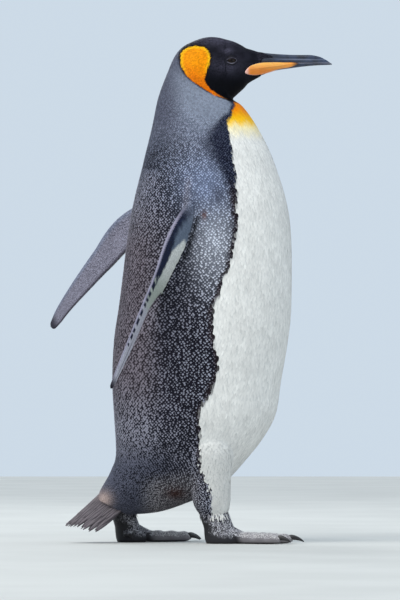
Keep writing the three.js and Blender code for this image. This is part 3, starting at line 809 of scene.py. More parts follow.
def build_foot(name, spec):
    knuckles = lambda x, a: 0.10 * np.sin(x * 2 * np.pi / 27) * smooth(30, 50, x) * (np.sin(a) > -0.3)
    forms = [rings_of(partial(shank_points, spec), 46, 64, len(SHANK) - 1)]
    forms += [turned(limb_rings(TOE, 70, 40, length, 1.04, knuckles), turn * spec["inner"])
              for turn, length in TOES.values()]
    forms += [rings_of(partial(hind_toe_points, spec), 16, 24, np.pi - 0.02, 0.02), *webs(spec)]
    foot = lofted("scaled_foot_" + name, *(placed(rings, spec) for rings in forms))
    applied(foot, "fuse", "REMESH", mode="VOXEL", voxel_size=FOOT_VOXEL * MM)
    applied(foot, "soften", "SMOOTH", factor=0.5, iterations=5)
    points = set_coordinates(foot, coordinates(foot), 0.0)
    normals = vertex_normals(foot)
    dome, cell, local = foot_scales(points, normals, spec)
    points = points + normals * ((dome - 0.35) * 0.42 * smooth(0.5, 3, points[:, 2]))[:, None]
    points = set_coordinates(foot, points, 0.0)
    attributes(foot, dome=dome, own=np.random.default_rng(9).random(SCALES)[cell], ahead=local[:, 0] / 100,
               height=points[:, 2] / 50)
    return piece(foot, "foot_skin", "foot_" + name)


def build_claw(name, rings, spec):
    made = lofted(name.replace("claw", "nail"), placed(rings, spec))
    set_coordinates(made, coordinates(made), 0.3)
    return piece(made, "claw_horn", name)


def ridges(x, angle):
    return 0.03 * np.sin(x * 2.2) - 0.14 * hill((np.abs(np.sin(angle)), 0, 0.3)) * smooth(124, 140, x)


feet, claws = [], []
for side, spec in FEET.items():
    feet.append(build_foot(side, spec))
    for toe, (turn, length) in TOES.items():
        rings = turned(limb_rings(CLAW, 46, 28, length, 0.92, ridges), turn * spec["inner"])
        claws.append(build_claw(f"claw_{side}_{toe}", rings, spec))
    reach, high, radius = HIND_TOE["claw"], HIND_TOE["z"], HIND_TOE["radius"]
    rows = np.array([[0, high, radius / 2], [reach * 0.6, high - 2, radius * 0.38],
                     [reach, high - 6, radius / 10]])
    rings = turned(limb_rings(rows, 24, 20), spec["inner"] * HIND_TOE["turn"])
    rings = rings + [HIND_TOE["x"], spec["inner"] * HIND_TOE["side"], 0]
    claws.append(build_claw(f"claw_{side}_hind", rings, spec))

# ---------- feathers

# Rows of a vane, from root to tip: share of its length, share of its half width, share of its lift.
VANE = np.array([[0, 0.42, -0.35], [0.3, 0.9, 0.25], [0.62, 1.0, 0.7], [0.87, 0.72, 0.95], [1, 0.12, 1.0]])
PATCH = 0.003  # how wide a vane lies on the map of its coat
TIP_AT = 0.8  # the share of a vane's length where its markings are looked up
ROWS_APART = 0.5  # in places along a row, so that the lines that catch the eye run aslant both ways
SPACING = 0.76  # the size of a feather's own place, in places along a row
LEAST_GAP = 1.5  # between feathers of the head and the trunk
AROUND = {"head": 103, "body": 132, "leg": 50, "flipper": 46, "flipper_end": 36}  # feathers in a row


def coat(name, slot, roots, ways, length, width, lift, root_colour, tip_colour, places, wobble=0.12,
         arch=0.1, even=0.5, uneven=0.1, tip_at=0.7, calm=0.0, surface=None, wrapped=False):
    """Overlapping vanes that lie along a surface from root to tip. places are their spots on the map, even
    is how far their shading follows the surface's, tip_at is where their tip colour starts, calm is how
    little they differ, and wrapped vanes bend sideways with the surface."""
    n, count = len(roots), len(VANE)
    surface = surface or skin_surface
    spot, normal, _ = surface.nearest(roots)
    even, arch, tip_at, calm = (np.broadcast_to(v, n) for v in (even, arch, tip_at, calm))
    turn = rng.normal(0, wobble, n)
    way = unit(ways - normal * (ways * normal).sum(1)[:, None])
    way = way * np.cos(turn)[:, None] + np.cross(normal, way) * np.sin(turn)[:, None]
    lift = lift * rng.uniform(1 - 2 * uneven, 1 + 2 * uneven, n)
    length = length * rng.uniform(1 - uneven, 1 + uneven, n)
    points = np.empty((n, count, 3, 3), np.float32)
    under = np.empty_like(points)
    before = 0.0
    for k, (share, wide, high) in enumerate(VANE):
        if share > before:
            spot, normal, _ = surface.nearest(spot + way * (length * (share - before))[:, None])
            way = unit(way - normal * (way * normal).sum(1)[:, None])
            before = share
        middle = spot + normal * (lift * high)[:, None]
        reach = np.cross(normal, way) * (width * wide / 2)[:, None]
        drop = normal * (width * wide * arch)[:, None]
        under[:, k] = normal[:, None]
        for j, spots in enumerate((middle - reach - drop, middle, middle + reach - drop)):
            points[:, k, j] = spots
        for j, sign in ((0, -1), (2, 1)) if wrapped else ():
            beside, beside_normal, _ = surface.nearest(spot + sign * reach)
            points[:, k, j] = beside + beside_normal * (lift * high * 0.8)[:, None]
            under[:, k, j] = beside_normal
    quads = ring_faces(count, 3, closed=False)[:, ::-1]
    made = make_mesh(name, points.reshape(-1, 3),
                     (quads[None] + (np.arange(n) * count * 3)[:, None, None]).reshape(-1, 4))
    spread = lambda v: np.repeat(v, count * 3, axis=0)
    share = spread(even)[:, None]
    normals = unit(vertex_normals(made) * (1 - share) + under.reshape(-1, 3) * share)
    made.data.normals_split_custom_set_from_vertices(normals.tolist())
    along, across = np.tile(np.repeat(VANE[:, 0], 3), n), np.tile([-1.0, 0, 1.0], n * count)
    attributes(made, root_hue=spread(root_colour), tip_hue=spread(tip_colour), along=along, across=across,
               own=spread(rng.random(n)), tip_at=spread(tip_at), calm=spread(calm))
    lay_on_map(made, spread(places) + np.stack([across * 0.5, along - 0.5], 1) * PATCH)
    return piece(made, slot)


def on_coat_map(angle, along):
    return np.stack([0.01 + 0.98 * angle / (2 * np.pi), 0.01 + 0.98 * along], 1)


def quincunx(function, start, to, around):
    """Roots in staggered rows over a form, so many to a row: place, angle and spacing of each."""
    angles, probes, step = np.linspace(0, 2 * np.pi, 241), np.array([1.2, 1.57, 1.9, 2.4]), 0.001
    found, at, row = [], start, 0
    while at < to:
        ring = function(np.full(241, at), angles)
        run = np.concatenate([[0], np.cumsum(np.linalg.norm(np.diff(ring, axis=0), axis=1))])
        count = around(at)
        apart = run[-1] / count
        share = (np.arange(count) + 0.5 * (row % 2)) / count
        angle = np.interp(share * run[-1], run, angles)
        found.append(np.stack([np.full(count, at), angle, np.full(count, apart * SPACING)], 1))
        moved = function(np.full(4, at + step), probes) - function(np.full(4, at), probes)
        at += apart * ROWS_APART * step / np.linalg.norm(moved, axis=1).mean()
        row += 1
    return np.vstack(found)


def thinned(points, gap):
    """Which points to keep so that none is nearer than gap to one kept before it."""
    cells, keep = {}, np.zeros(len(points), bool)
    size = float(np.max(gap))
    for i, p in enumerate(points):
        key = tuple((p // size).astype(int))
        least = gap[i] * gap[i]
        cells_near = product(*((k - 1, k, k + 1) for k in key))
        around = (points[j] - p for cell in cells_near for j in cells.get(cell, ()))
        if not any(d @ d < least for d in around):
            keep[i] = True
            cells.setdefault(key, []).append(i)
    return keep


def laid(function, start, to, around, reach, thin=0.0, jitter=0.1):
    """Roots over a form where the skin is within reach: points, ways, place, angle and spacing."""
    at, angle, gap = quincunx(function, start, to, around).T
    points = function(at, angle)
    points += rng.normal(0, jitter, points.shape) * gap[:, None]
    keep = skin_surface.nearest(points)[2] < reach(at)
    if thin:
        keep[keep] = thinned(points[keep], gap[keep] * thin)
    at, angle, gap, points = at[keep], angle[keep], gap[keep], points[keep]
    step = 0.02 * (to - start) / 2
    ways = unit(function(np.minimum(at + step, to), angle) - function(np.maximum(at - step, start), angle))
    return points, ways, at, angle, gap


def dress_body():
    """Feathers of head, neck and trunk, in five pieces from bill to tail."""
    head = laid(body_points, 0.12, 5.0, lambda at: AROUND["head"], lambda at: 3.6, 0.7, 0.05)
    rest = laid(body_points, 5.0, BODY_END - 0.1, lambda at: AROUND["body"],
                lambda at: np.where(at < 7, 3.6, 4.8), 0.55, 0.05)
    points, ways, at, angle, gap = (np.concatenate(v) for v in zip(head, rest))
    gap = np.maximum(gap, LEAST_GAP)
    near_eye = np.hypot(points[:, 0] - EYE[0], (points[:, 2] - EYE[2]) * 1.12)
    on_side = np.abs(points[:, 1]) > 12
    clear = (near_eye > EYE_CLEAR) | ~on_side
    points, ways, at, angle, gap, near_eye, on_side = (
        v[clear] for v in (points, ways, at, angle, gap, near_eye, on_side))
    round_eye = smooth(24, 10, near_eye) * on_side
    length = gap * np.interp(at, [0, 6, 9, 20], [2.5, 2.6, 2.7, 3.0]) * (1 - 0.35 * round_eye)
    width = gap * np.interp(at, [0, 6, 9, 20], [1.2, 1.2, 1.18, 1.2])
    lift = np.interp(at, [0, 3, 6, 9, 20], [0.5, 0.7, 1.0, 1.6, 1.8])
    shown = points + ways * (TIP_AT * length)[:, None]
    loose = rng.normal(0, 1, len(points)) * np.interp(at, [0, 6, 8, 10], [0.3, 0.3, 0.5, 1.0])
    root, tip, white = markings(shown, loose)
    value = rng.normal(1, 0.05, len(points))[:, None]
    root, tip = np.clip(root * value, 0, 1), np.clip(tip * value, 0, 1)
    # White feathers are longer, narrower, flatter and calmer, and their tip colour starts sooner.
    lift = lift * (1 - 0.82 * white)
    length, width = length * (1 + 0.45 * white), width * (1 - 0.22 * white)
    even = np.interp(at, [0, 5, 9], [0.8, 0.75, 0.5])
    even = even + (0.93 - even) * white
    tip_at = np.interp(at, [0, 5.5, 7, 9.5], [0.5, 0.55, 0.62, 0.78])
    rear = smooth(-30, -90, shown[:, 0]) * (at > NECK_END)
    tip_at = tip_at + (0.5 - tip_at) * np.maximum(white, 0.45 * rear)
    fluff = smooth(130, 95, shown[:, 2]) * fluffy(shown[:, 0])
    vanes = (points, ways, length, width, lift, root, tip, on_coat_map(angle, at / BODY_END))
    made = []
    for name, slot, low, high in (
            ("coat_head", "head_feathers", 0, HEAD_END), ("coat_neck", "neck_feathers", HEAD_END, NECK_END),
            ("coat_breast", "body_feathers", NECK_END, BREAST_END),
            ("coat_belly", "body_feathers", BREAST_END, BELLY_END),
            ("coat_rump", "body_feathers", BELLY_END, BODY_END + 1)):
        on = (at >= low) & (at < high)
        made.append(coat(name, slot, *(v[on] for v in vanes), wobble=0.08 + 0.3 * fluff[on],
                         arch=0.09 - 0.07 * white[on], even=even[on], uneven=0.06, tip_at=tip_at[on],
                         calm=0.9 * white[on]))
    return made


def dress_legs():
    """Feathers of the legs, whose hem hangs over the top of the foot with a ragged edge."""
    made = []
    for foot, (side, (_, rows)) in zip(feet, LEGS.items()):
        points, ways, at, angle, gap = laid(partial(leg_points, side), 0.6, len(rows) - 1.02,
                                            lambda at: AROUND["leg"], lambda at: 3.2)
        hem = smooth(3.7, 4.6, at)
        length = gap * 3.0 + 10 * hem * rng.uniform(0.2, 1.4, len(points))
        shown = points + ways * (TIP_AT * length)[:, None]
        root, tip, white = markings(shown, rng.normal(0, 1.6, len(points)))
        leg = Paint(root, tip)
        front = smooth(-0.1, 0.5, np.cos(angle)) * smooth(60, 80, points[:, 2])
        leg.add(front, WHITE, WHITE_TIP, 0.7 if side == "left" else 0.0)
        leg.add(hem * (1 - white), (40, 38, 46), (168, 164, 170), 0.6, 0.5)
        made.append(coat("coat_leg_" + side, "leg_feathers", points, ways, length, gap * (1.15 - 0.35 * hem),
                         2.0 + 0.5 * hem, leg.root, leg.tip, on_coat_map(angle, at / 5), wobble=0.14,
                         even=0.5 + 0.35 * white, tip_at=0.74 - 0.24 * white, calm=0.7 * white,
                         surface=Nearer(skin_surface, Surface(foot))))
    return made


def dress_flippers():
    """Small feathers that wrap round both edges of the flippers."""
    made = []
    for side in FLIPPERS:
        form = partial(flipper_points, side)
        points, ways, at, angle, gap = laid(
            form, 0.03, 0.985, lambda at: AROUND["flipper" if at < 0.55 else "flipper_end"], lambda at: 2.6,
            jitter=0.05)
        across = -rounded(angle, FLIPPER_SQUARENESS)[0]
        ventral = smooth(-0.25, 0.25, np.sin(angle) * VENTRAL[side] + 0.25 * smooth(-0.8, -1, across))
        length = gap * 2.3
        shown = points + ways * (TIP_AT * length)[:, None]
        vanes = Paint(*flipper_markings(at + TIP_AT * length / MIDLINES[side].length, across, ventral, shown))
        vanes.add(smooth(0.18, 0.07, at), *markings(shown)[:2])
        # Feathers sweep a little from the leading edge towards the trailing edge, and run along both edges.
        sweep = 0.3 * smooth(0.8, 0.3, np.abs(across)) * smooth(1, 0.9, at)
        ways = unit(ways + flipper_axes(side, at)[2] * sweep[:, None])
        lift = 0.9 * np.interp(at, [0, 0.15, 0.5, 1], [1.0, 0.75, 0.5, 0.3])
        made.append(coat("coat_flipper_" + side, "flipper_feathers", points, ways, length, gap * 1.2, lift,
                         vanes.root, vanes.tip, on_coat_map(angle, at), wobble=0.04, arch=0.05, even=0.7,
                         uneven=0.05, tip_at=0.6, calm=0.3, wrapped=True,
                         surface=surface_of(rings_of(form, 300, 96, FLIPPER_TIP))))
    return made


body_coats, leg_coats, flipper_coats = dress_body(), dress_legs(), dress_flippers()

# ---------- tail

TAIL_VANE = np.array([[0, 0.55, 0], [0.12, 0.8, 0.3], [0.3, 0.95, 0.6], [0.5, 1, 0.8], [0.68, 0.95, 0.9],
                      [0.82, 0.78, 1], [0.92, 0.5, 1], [0.97, 0.28, 1], [1, 0.06, 1]])
TAIL_COLUMNS = np.array([-1, -0.5, -0.08, 0, 0.08, 0.5, 1])
# Above (1) or below (-1) the fan, number, reach, width, start, height.
TAIL_LAYERS = [(1, 22, 1.0, 8.5, 0.0, -0.3), (1, 21, 0.95, 8, 0.03, 0.7), (1, 24, 0.72, 7, 0.0, 1.7),
               (1, 26, 0.5, 6, -0.03, 2.6), (1, 28, 0.32, 5.5, -0.08, 3.4), (-1, 19, 0.92, 8.5, 0.0, 4.2),
               (-1, 22, 0.55, 7, -0.02, 5.6)]


def tail_feathers():
    """Long stiff feathers with shafts, over and under the fan, with shorter coverts at its root."""
    t, broad, stiff = (v[:, None] for v in TAIL_VANE.T)
    c, away, ones = TAIL_COLUMNS, np.abs(TAIL_COLUMNS), np.ones((len(TAIL_VANE), len(TAIL_COLUMNS)))
    points, numbers = [], []
    for top, count, reach, wide, start, high in TAIL_LAYERS:
        for k in range(count):
            across = (2 * (k + 0.5) / count - 1) * 0.98 + rng.normal(0, 0.012)
            share = start + (reach * rng.uniform(0.94, 1.0) - start) * t[:, 0]
            spot, over, normal = (v[:, None] for v in tail_frame(np.full(len(share), across), share))
            normal = unit(normal)
            if top < 0:
                spot, normal, lifted = spot - normal * high, -normal, 0.8 * stiff
            else:
                lifted = high * (1 - 0.55 * t) + 0.9 * stiff
            tilt, own = rng.normal(0, 0.05), rng.random()
            ridge = 0.5 * (1 - t) * (away < 0.05) + 0.12 * (away < 0.2)
            height = lifted + ridge - 0.9 * away**1.6 + tilt * c * wide
            points.append(spot + over * (c * broad * wide / 2)[..., None] + normal * height[..., None])
            u = 0.5 + 0.48 * across + c * 0.0015
            v = 0.5 + 0.2 * top * (1 + 0.8 * (t * reach)) + t * 0.001
            numbers.append(np.stack([t * ones, c * ones, own * ones, top * ones, u * ones, v * ones], -1))
    quads = ring_faces(*ones.shape, closed=False)
    faces = (quads[None] + (np.arange(len(points)) * ones.size)[:, None, None]).reshape(-1, 4)
    points = np.array(points).reshape(-1, 3)
    made = make_mesh("tail_feathers", points, faces)
    along, across, own, top, u, v = np.array(numbers).reshape(-1, 6).T
    hues = Paint((78, 70, 74), linear((104, 96, 102)) * (0.75 + 0.5 * own)[:, None])
    from_root = np.linalg.norm(points - (TAIL["root"] + [2, 0, 2]), axis=1)
    hues.add(smooth(26, 8, from_root - 12 * own) * (top > 0), BUFF, BUFF, 0.45)
    attributes(made, root_hue=hues.root, tip_hue=hues.tip, along=along, across=across, own=own)
    lay_on_map(made, np.stack([u, v], 1))
    return piece(made, "tail_feathers", "tail")


tail = tail_feathers()

# ---------- bill


def mandible(name, sign, count=150, around=32, flat=8):
    """One mandible, from behind the bill's base to its tip, with the groove and the cutting edge."""
    x = (BILL_START + (BILL[-1, 0] - BILL_START) * np.linspace(0, 1, count) ** 0.9)[:, None]
    _, top, mouth, bottom, half = spline_at(BILL, np.maximum(x[:, 0], BILL[0, 0])).T[..., None]
    edge = mouth + sign * 0.12
    height = np.maximum(np.abs((top if sign > 0 else bottom) - edge), 0.25)
    half = np.maximum(half, 0.35)
    c, level = rounded(np.linspace(0, np.pi, around), 2.3)
    if sign > 0:
        deep = 1.25 * hill((level, 0.52, 0.13)) * smooth(118, 132, x) * smooth(238, 214, x)
        ridge = 0.5 * hill((level, 0.25, 0.12)) * smooth(120, 140, x) * smooth(240, 225, x)
        groove = np.minimum(deep, half * 0.3) - np.minimum(ridge, half * 0.12)
    else:
        groove = -np.minimum(0.4 * hill((level, 0.2, 0.14)) * smooth(180, 200, x), half * 0.1)
    wide = c * half - np.sign(c) * groove * (np.abs(c) > 0.02)
    place = np.arange(1, flat + 1) / (flat + 1)
    y = np.hstack([wide, (-1 + 2 * place) * half * 0.92])
    z = np.hstack([edge + sign * level * height, edge + sign * 0.25 * np.sin(np.pi * place)])
    return piece(lofted(name + "_mandible", np.stack([x + 0 * y, y, z], -1)), "bill_horn", "bill_" + name)


def dress_bill():
    """Small feathers that run forward over the bill's base, in a point on each side of the upper mandible."""
    made = []
    for name, obj, sign in (("coat_lores", upper, 1), ("coat_chin", lower, -1)):
        x, turn = np.meshgrid(np.arange(113, 149, 1.15), np.arange(0.03, 0.98, 0.036), indexing="ij")
        x = x + 0.3 * rng.normal(size=x.shape)
        turn = turn + 0.018 * (np.arange(len(x)) % 2)[:, None]
        x, angle = x.ravel(), np.pi * turn.ravel()
        _, top, mouth, bottom, half = spline_at(BILL, x).T
        tall = (top if sign > 0 else bottom) - mouth
        points = np.stack([x, np.cos(angle) * half, mouth + tall * np.sin(angle)], 1)
        level = np.abs(points[:, 2] - mouth) / np.abs(tall)
        reach = 118 + 14 * smooth(0.7, 1, level)
        if sign > 0:
            reach = 126 + 20 * hill((level, 0.6, 0.2)) + 3 * level
        points = points[x < reach + rng.normal(0, 0.6, len(x))]
        rows = lambda *v: np.tile(v, (len(points), 1))
        root = rows(*linear(HOOD))
        tip = blend(root, HOOD_TIP, np.full(len(points), 0.35 if sign > 0 else 0.1))
        places = np.stack([0.5 + points[:, 1] * 0.03, 0.3 + (points[:, 0] - 110) * 0.012 + 0.2 * sign], 1)
        length, width, lift = rows(4.4, 2.1, 0.45).T
        made.append(coat(name, "head_feathers", points, rows(-1.0, 0, 0), length, width, lift, root, tip,
                         places, wobble=0.08, even=0.8, surface=Surface(obj)))
    return made


def bill_plate(side, around=120, rounds=18, beside=60.0):
    """The horny plate on one side of the lower mandible: crowned, with a rolled rim."""
    corners = np.array(PLATE_OUTLINE + PLATE_OUTLINE[:1])
    rim = spline(np.vstack([corners[-2], corners, corners[1]]), np.linspace(1, len(corners), around + 1))[:-1]
    shares = (1 - np.linspace(0, 1, rounds) ** 1.6)[:-1]
    spine_x = np.clip(rim[:, 0], 108, 176)
    spine = np.stack([spine_x, np.interp(spine_x, [108, 125, 150, 176], [829.5, 831.5, 835.5, 838.5])], 1)
    rings = np.array([spine + (rim - spine) * s for s in shares])
    hit = np.ones(rings.shape[:2])
    for place in np.ndindex(hit.shape):
        x, z = rings[place]
        origin = Vector(((np.array([x, side * beside, z]) + SHIFT) * MM).tolist())
        for tree in face_trees:
            spot = tree.ray_cast(origin, Vector((0, -side, 0)))[0]
            if spot is not None:
                hit[place] = max(hit[place], side * (spot.y / MM - SYMMETRY_Y))
    for _ in range(6):
        hit = (hit + np.roll(hit, 1, 1) + np.roll(hit, -1, 1)) / 3
    inward = 1 - shares
    crown = 0.25 + 1.15 * smooth(0, 0.16, inward) + 0.5 * smooth(0.1, 0.8, inward)
    layer = lambda depth: np.stack([rings[..., 0], side * depth, rings[..., 1]], -1)
    shell = np.concatenate([layer(hit - 1.2)[::-1], layer(hit + crown[:, None])])
    made = lofted("chin_plate_" + SIDES[side], shell)
    inward = np.repeat(np.concatenate([inward[::-1], inward]), around)
    attributes(made, inward=np.concatenate([inward, [1, 1]]))
    return piece(made, "bill_plate", "bill_plate_" + SIDES[side])


upper, lower = mandible("upper", 1), mandible("lower", -1)
bill_coats = dress_bill()
face_trees = [BVHTree.FromObject(o, bpy.context.evaluated_depsgraph_get()) for o in (lower, skin)]
plates = [bill_plate(side) for side in SIDES]

# ---------- eyes


def eye_axes(side):
    axis = unit(np.array([0.10, side * 1.0, 0.0]))
    ahead = unit(np.cross([0, 0, 1.0], axis) * side)
    up = np.cross(ahead, axis) * side
    return EYE * [1, side, 1], axis, ahead, up * np.sign(up[2])


def eyeball(side, count=56, around=72, pole=0.001):
    """A glossy ball with a dark iris and a raised cornea, centred where the solid's is."""
    centre, axis, ahead, up = eye_axes(side)

    def ball(polar, a):
        flat = np.outer(np.cos(a), ahead) + np.outer(np.sin(a), up)
        radius = EYE_RADIUS - 0.25 + 0.35 * hill((polar, 0, 0.5))
        return centre + radius[:, None] * (np.outer(np.cos(polar), axis) + np.sin(polar)[:, None] * flat)
    made = lofted("eyeball_" + SIDES[side], rings_of(ball, count, around, np.pi - pole, pole))
    polar = np.linspace(pole, np.pi - pole, count)
    attributes(made, from_axis=np.concatenate([np.repeat(polar, around), [0, np.pi]]))
    return piece(made, "eye", "eye_" + SIDES[side])


def eyelids(side, around=120, rounds=24):
    """Bare lids: a thin shell over the ball, with an almond opening and a thick wrinkled rim."""
    centre, axis, ahead, up = eye_axes(side)
    a = np.linspace(0, 2 * np.pi, around, endpoint=False)
    t = np.linspace(0, 1, rounds)[:, None]
    c, s = np.cos(a), np.sin(a)
    corner = np.sign(c) * np.abs(c) ** 1.15
    wide, above, below = 0.8, 0.24, 0.38  # of the opening, in radians
    open_z = np.where(s > 0, above, below) * np.sign(s) * np.abs(s) ** 1.35 + 0.05 - 0.05 * corner
    px, pz = wide * corner * (1 - t) + 1.34 * c * t, open_z * (1 - t) + 1.26 * s * t
    angle = np.hypot(px, pz)
    roll = 1.15 * hill((t, 0.13, 0.11)) + 0.35 * hill((t, 0.42, 0.08)) - 0.4 * hill((t, 0.28, 0.05))
    folds = 0.45 * (hill((t, 0.58, 0.06)) - hill((t, 0.7, 0.05))) * (s > 0) * s
    wrinkle = 0.16 * np.sin(a * 23 + 3 * np.sin(a * 3)) * hill((t, 0.2, 0.2))
    radius = EYE_RADIUS + 0.15 + roll + folds + wrinkle - 0.2 * t
    radius[0] = EYE_RADIUS - 0.9
    sine = np.sin(angle) / angle
    ways = (np.cos(angle)[..., None] * axis + (sine * px)[..., None] * ahead + (sine * pz)[..., None] * up)
    rings = centre + ways * radius[..., None]
    inner = centre + (rings[:0:-1] - centre) * 0.93
    loop = np.concatenate([rings, inner])
    faces, total = ring_faces(len(loop) + 1, around), len(loop) * around
    made = make_mesh("eyelids_" + SIDES[side], loop.reshape(-1, 3), faces % total)
    out = np.concatenate([np.repeat(t, around), np.repeat(t[:0:-1], around)])
    attributes(made, outward=out)
    return piece(made, "head_feathers")


eyes = [eyeball(side) for side in SIDES]
lids = [eyelids(side) for side in SIDES]

# ---------- materials


class Value:
    """A node's output, with arithmetic that makes further nodes."""

    def __init__(self, nodes, socket):
        self.nodes, self.socket = nodes, socket

    def __add__(self, other):
        return self.nodes.math("ADD", self, other)

    def __sub__(self, other):
        return self.nodes.math("SUBTRACT", self, other)

    def __rsub__(self, other):
        return self.nodes.math("SUBTRACT", other, self)

    def __mul__(self, other):
        return self.nodes.math("MULTIPLY", self, other)

    def __abs__(self):
        return self.nodes.math("ABSOLUTE", self)


class Nodes:
    """A material's node tree, with short calls for the nodes used here. Tuples are colours."""

    def __init__(self, name):
        self.material = bpy.data.materials.new(name)
        self.material.use_nodes = True
        self.tree = self.material.node_tree
        self.place = self.node("ShaderNodeTexCoord", {}, "Object")

    def put(self, target, value):
        if isinstance(value, Value):
            self.tree.links.new(value.socket, target)
        else:
            target.default_value = (*linear(value), 1.0) if isinstance(value, tuple) else value

    def node(self, kind, inputs, output=0, **settings):
        made = self.tree.nodes.new(kind)
        for key, value in settings.items():
            setattr(made, key, value)
        for key, value in (inputs.items() if isinstance(inputs, dict) else enumerate(inputs)):
            self.put(made.inputs[key], value)
        return Value(self, made.outputs[output])

    def attributes(self, *names, output="Fac"):
        return [self.node("ShaderNodeAttribute", {}, output, attribute_name=name) for name in names]

    def axis(self, number):
        return self.node("ShaderNodeSeparateXYZ", [self.place], number)

    def math(self, operation, *values):
        return self.node("ShaderNodeMath", values, operation=operation)

    def range(self, value, low, high, to_low=0.0, to_high=1.0, kind="SMOOTHSTEP"):
        return self.node("ShaderNodeMapRange", (value, low, high, to_low, to_high), interpolation_type=kind)

    def mix(self, share, a, b, how="MIX"):
        return self.node("ShaderNodeMix", {0: share, 6: a, 7: b}, 2, data_type="RGBA", blend_type=how,
                         clamp_factor=True)

    def vary(self, colour, value, low, high, dark, light):
        """A colour that gets lighter as a value goes from low to high."""
        grey = self.node("ShaderNodeCombineColor", [self.range(value, low, high, dark, light, "LINEAR")] * 3)
        return self.mix(1.0, colour, grey, "MULTIPLY")

    def noise(self, scale, detail=2.0, where=None):
        return self.node("ShaderNodeTexNoise", {"Scale": scale, "Detail": detail, "Roughness": 0.5,
                                                "Vector": where or self.place}, "Fac")

    def lines(self, detail, scale):
        """Noise drawn out into lines, by a scale along each axis."""
        where = self.node("ShaderNodeMapping", {"Scale": scale, "Vector": self.place})
        return self.noise(1.0, detail, where)

    def barbs(self, *place):
        """Noise by a vane's own coordinates, drawn out along its barbs."""
        return self.noise(1.0, 3.0, self.node("ShaderNodeCombineXYZ", place))

    def bump(self, height, strength, distance):
        made = self.node("ShaderNodeBump", {"Strength": strength, "Distance": distance, "Height": height})
        self.put(self.tree.nodes["Principled BSDF"].inputs["Normal"], made)

    def finish(self, colour, cloud, smoothest, roughest, **sockets):
        """The material of this colour, whose roughness a noise varies."""
        roughness = self.range(cloud, 0.2, 0.8, smoothest, roughest, "LINEAR")
        sockets.update(Base_Color=colour, Roughness=roughness)
        for name, value in sockets.items():
            self.put(self.tree.nodes["Principled BSDF"].inputs[name.replace("_", " ")], value)
        return self.material


def plumage(name, roughness, specular=0.05):
    """Vanes: root colour to tip colour, fine barbs, and each feather a little its own shade."""
    m = Nodes(name)
    root, tip = m.attributes("root_hue", "tip_hue", output="Color")
    along, across, own, tip_at, calm = m.attributes("along", "across", "own", "tip_at", "calm")
    edge, varied = abs(across), 1.0 - calm
    where = along - edge * edge * 0.10 + (own - 0.5) * 0.16
    shade = m.mix(m.range(where, tip_at, tip_at * 0.78 + 0.28), root, tip)
    streak = m.barbs(across * 2.2, along * 26.0 + edge * -6.0, own * 40.0)
    shade = m.mix(varied, shade, m.vary(shade, streak, 0.25, 0.75, 0.80, 1.14))
    shade = m.vary(shade, m.noise(34.0, 3.0), 0.3, 0.7, 0.94, 1.05)
    shade = m.mix(varied, shade, m.vary(shade, own, 0.0, 1.0, 0.86, 1.14))
    m.bump(streak + (1.0 - edge) * 0.5, 0.3, 0.0004)
    return m.finish(shade, streak, roughness - 0.08, roughness + 0.1, Specular_IOR_Level=specular)


def tail_material():
    """Stiff feathers: pale shaft, brown-grey vanes with dark edges, and fine barbs."""
    m = Nodes("tail_plumage")
    root, tip = m.attributes("root_hue", "tip_hue", output="Color")
    along, across, own = m.attributes("along", "across", "own")
    edge = abs(across)
    streak = m.barbs(across * 5.0, along * 60.0 + edge * -8.0, own * 40.0)
    shade = m.mix(m.range(along, 0.1, 0.8), root, tip)
    shade = m.mix(m.range(edge, 0.45, 0.95) * 0.75, shade, (40, 36, 42))
    shade = m.mix(m.range(edge, 0.14, 0.06) * 0.7, shade, (150, 143, 146))
    shade = m.vary(shade, streak, 0.25, 0.75, 0.54, 0.96)
    m.bump(streak + m.range(edge, 0.2, 0.0), 0.4, 0.0005)
    return m.finish(shade, streak, 0.45, 0.65, Specular_IOR_Level=0.25)


def skin_material():
    m = Nodes("down_and_skin")
    speck = m.noise(420.0)
    shade = m.vary(m.attributes("hue", output="Color")[0], speck, 0.3, 0.7, 0.72, 1.05)
    shade = m.vary(shade, m.noise(30.0, 3.0), 0.3, 0.7, 0.92, 1.06)
    m.bump(speck, 0.4, 0.0005)
    return m.finish(shade, speck, 0.62, 0.85, Specular_IOR_Level=0.15)


def horn_material():
    """Bill horn: blue-black, with fine growth lines and scuffs, and pale lines along the mouth and along the
    upper mandible's edge that are painted highlights.
    """
    m = Nodes("bill_horn")
    x, z = m.axis(0), m.axis(2)
    lines, cloud = m.lines(4.0, [60, 900, 900]), m.noise(70.0, 4.0)
    # Pale lines along the mouth and along the upper mandible's edge: painted highlights.
    lip = m.range(abs(z - 0.8405), 0.0024, 0.0008) * m.range(x, 0.16, 0.2)
    ridge = m.range(abs(z - 0.8468), 0.0016, 0.0002) * m.range(x, 0.145, 0.17)
    shade = m.mix(m.range(cloud, 0.3, 0.7), (18, 26, 42), (42, 56, 84))
    shade = m.mix(lip * 0.55, shade, (112, 112, 126))
    shade = m.mix(ridge * 0.5, shade, (104, 112, 134))
    shade = m.mix(m.range(x, 0.16, 0.12) * 0.8, shade, (18, 18, 25))
    shade = m.vary(shade, lines, 0.3, 0.7, 0.75, 1.2)
    m.bump(lines, 0.3, 0.0003)
    return m.finish(shade, cloud, 0.28, 0.5, Coat_Weight=0.15, Coat_Roughness=0.25)


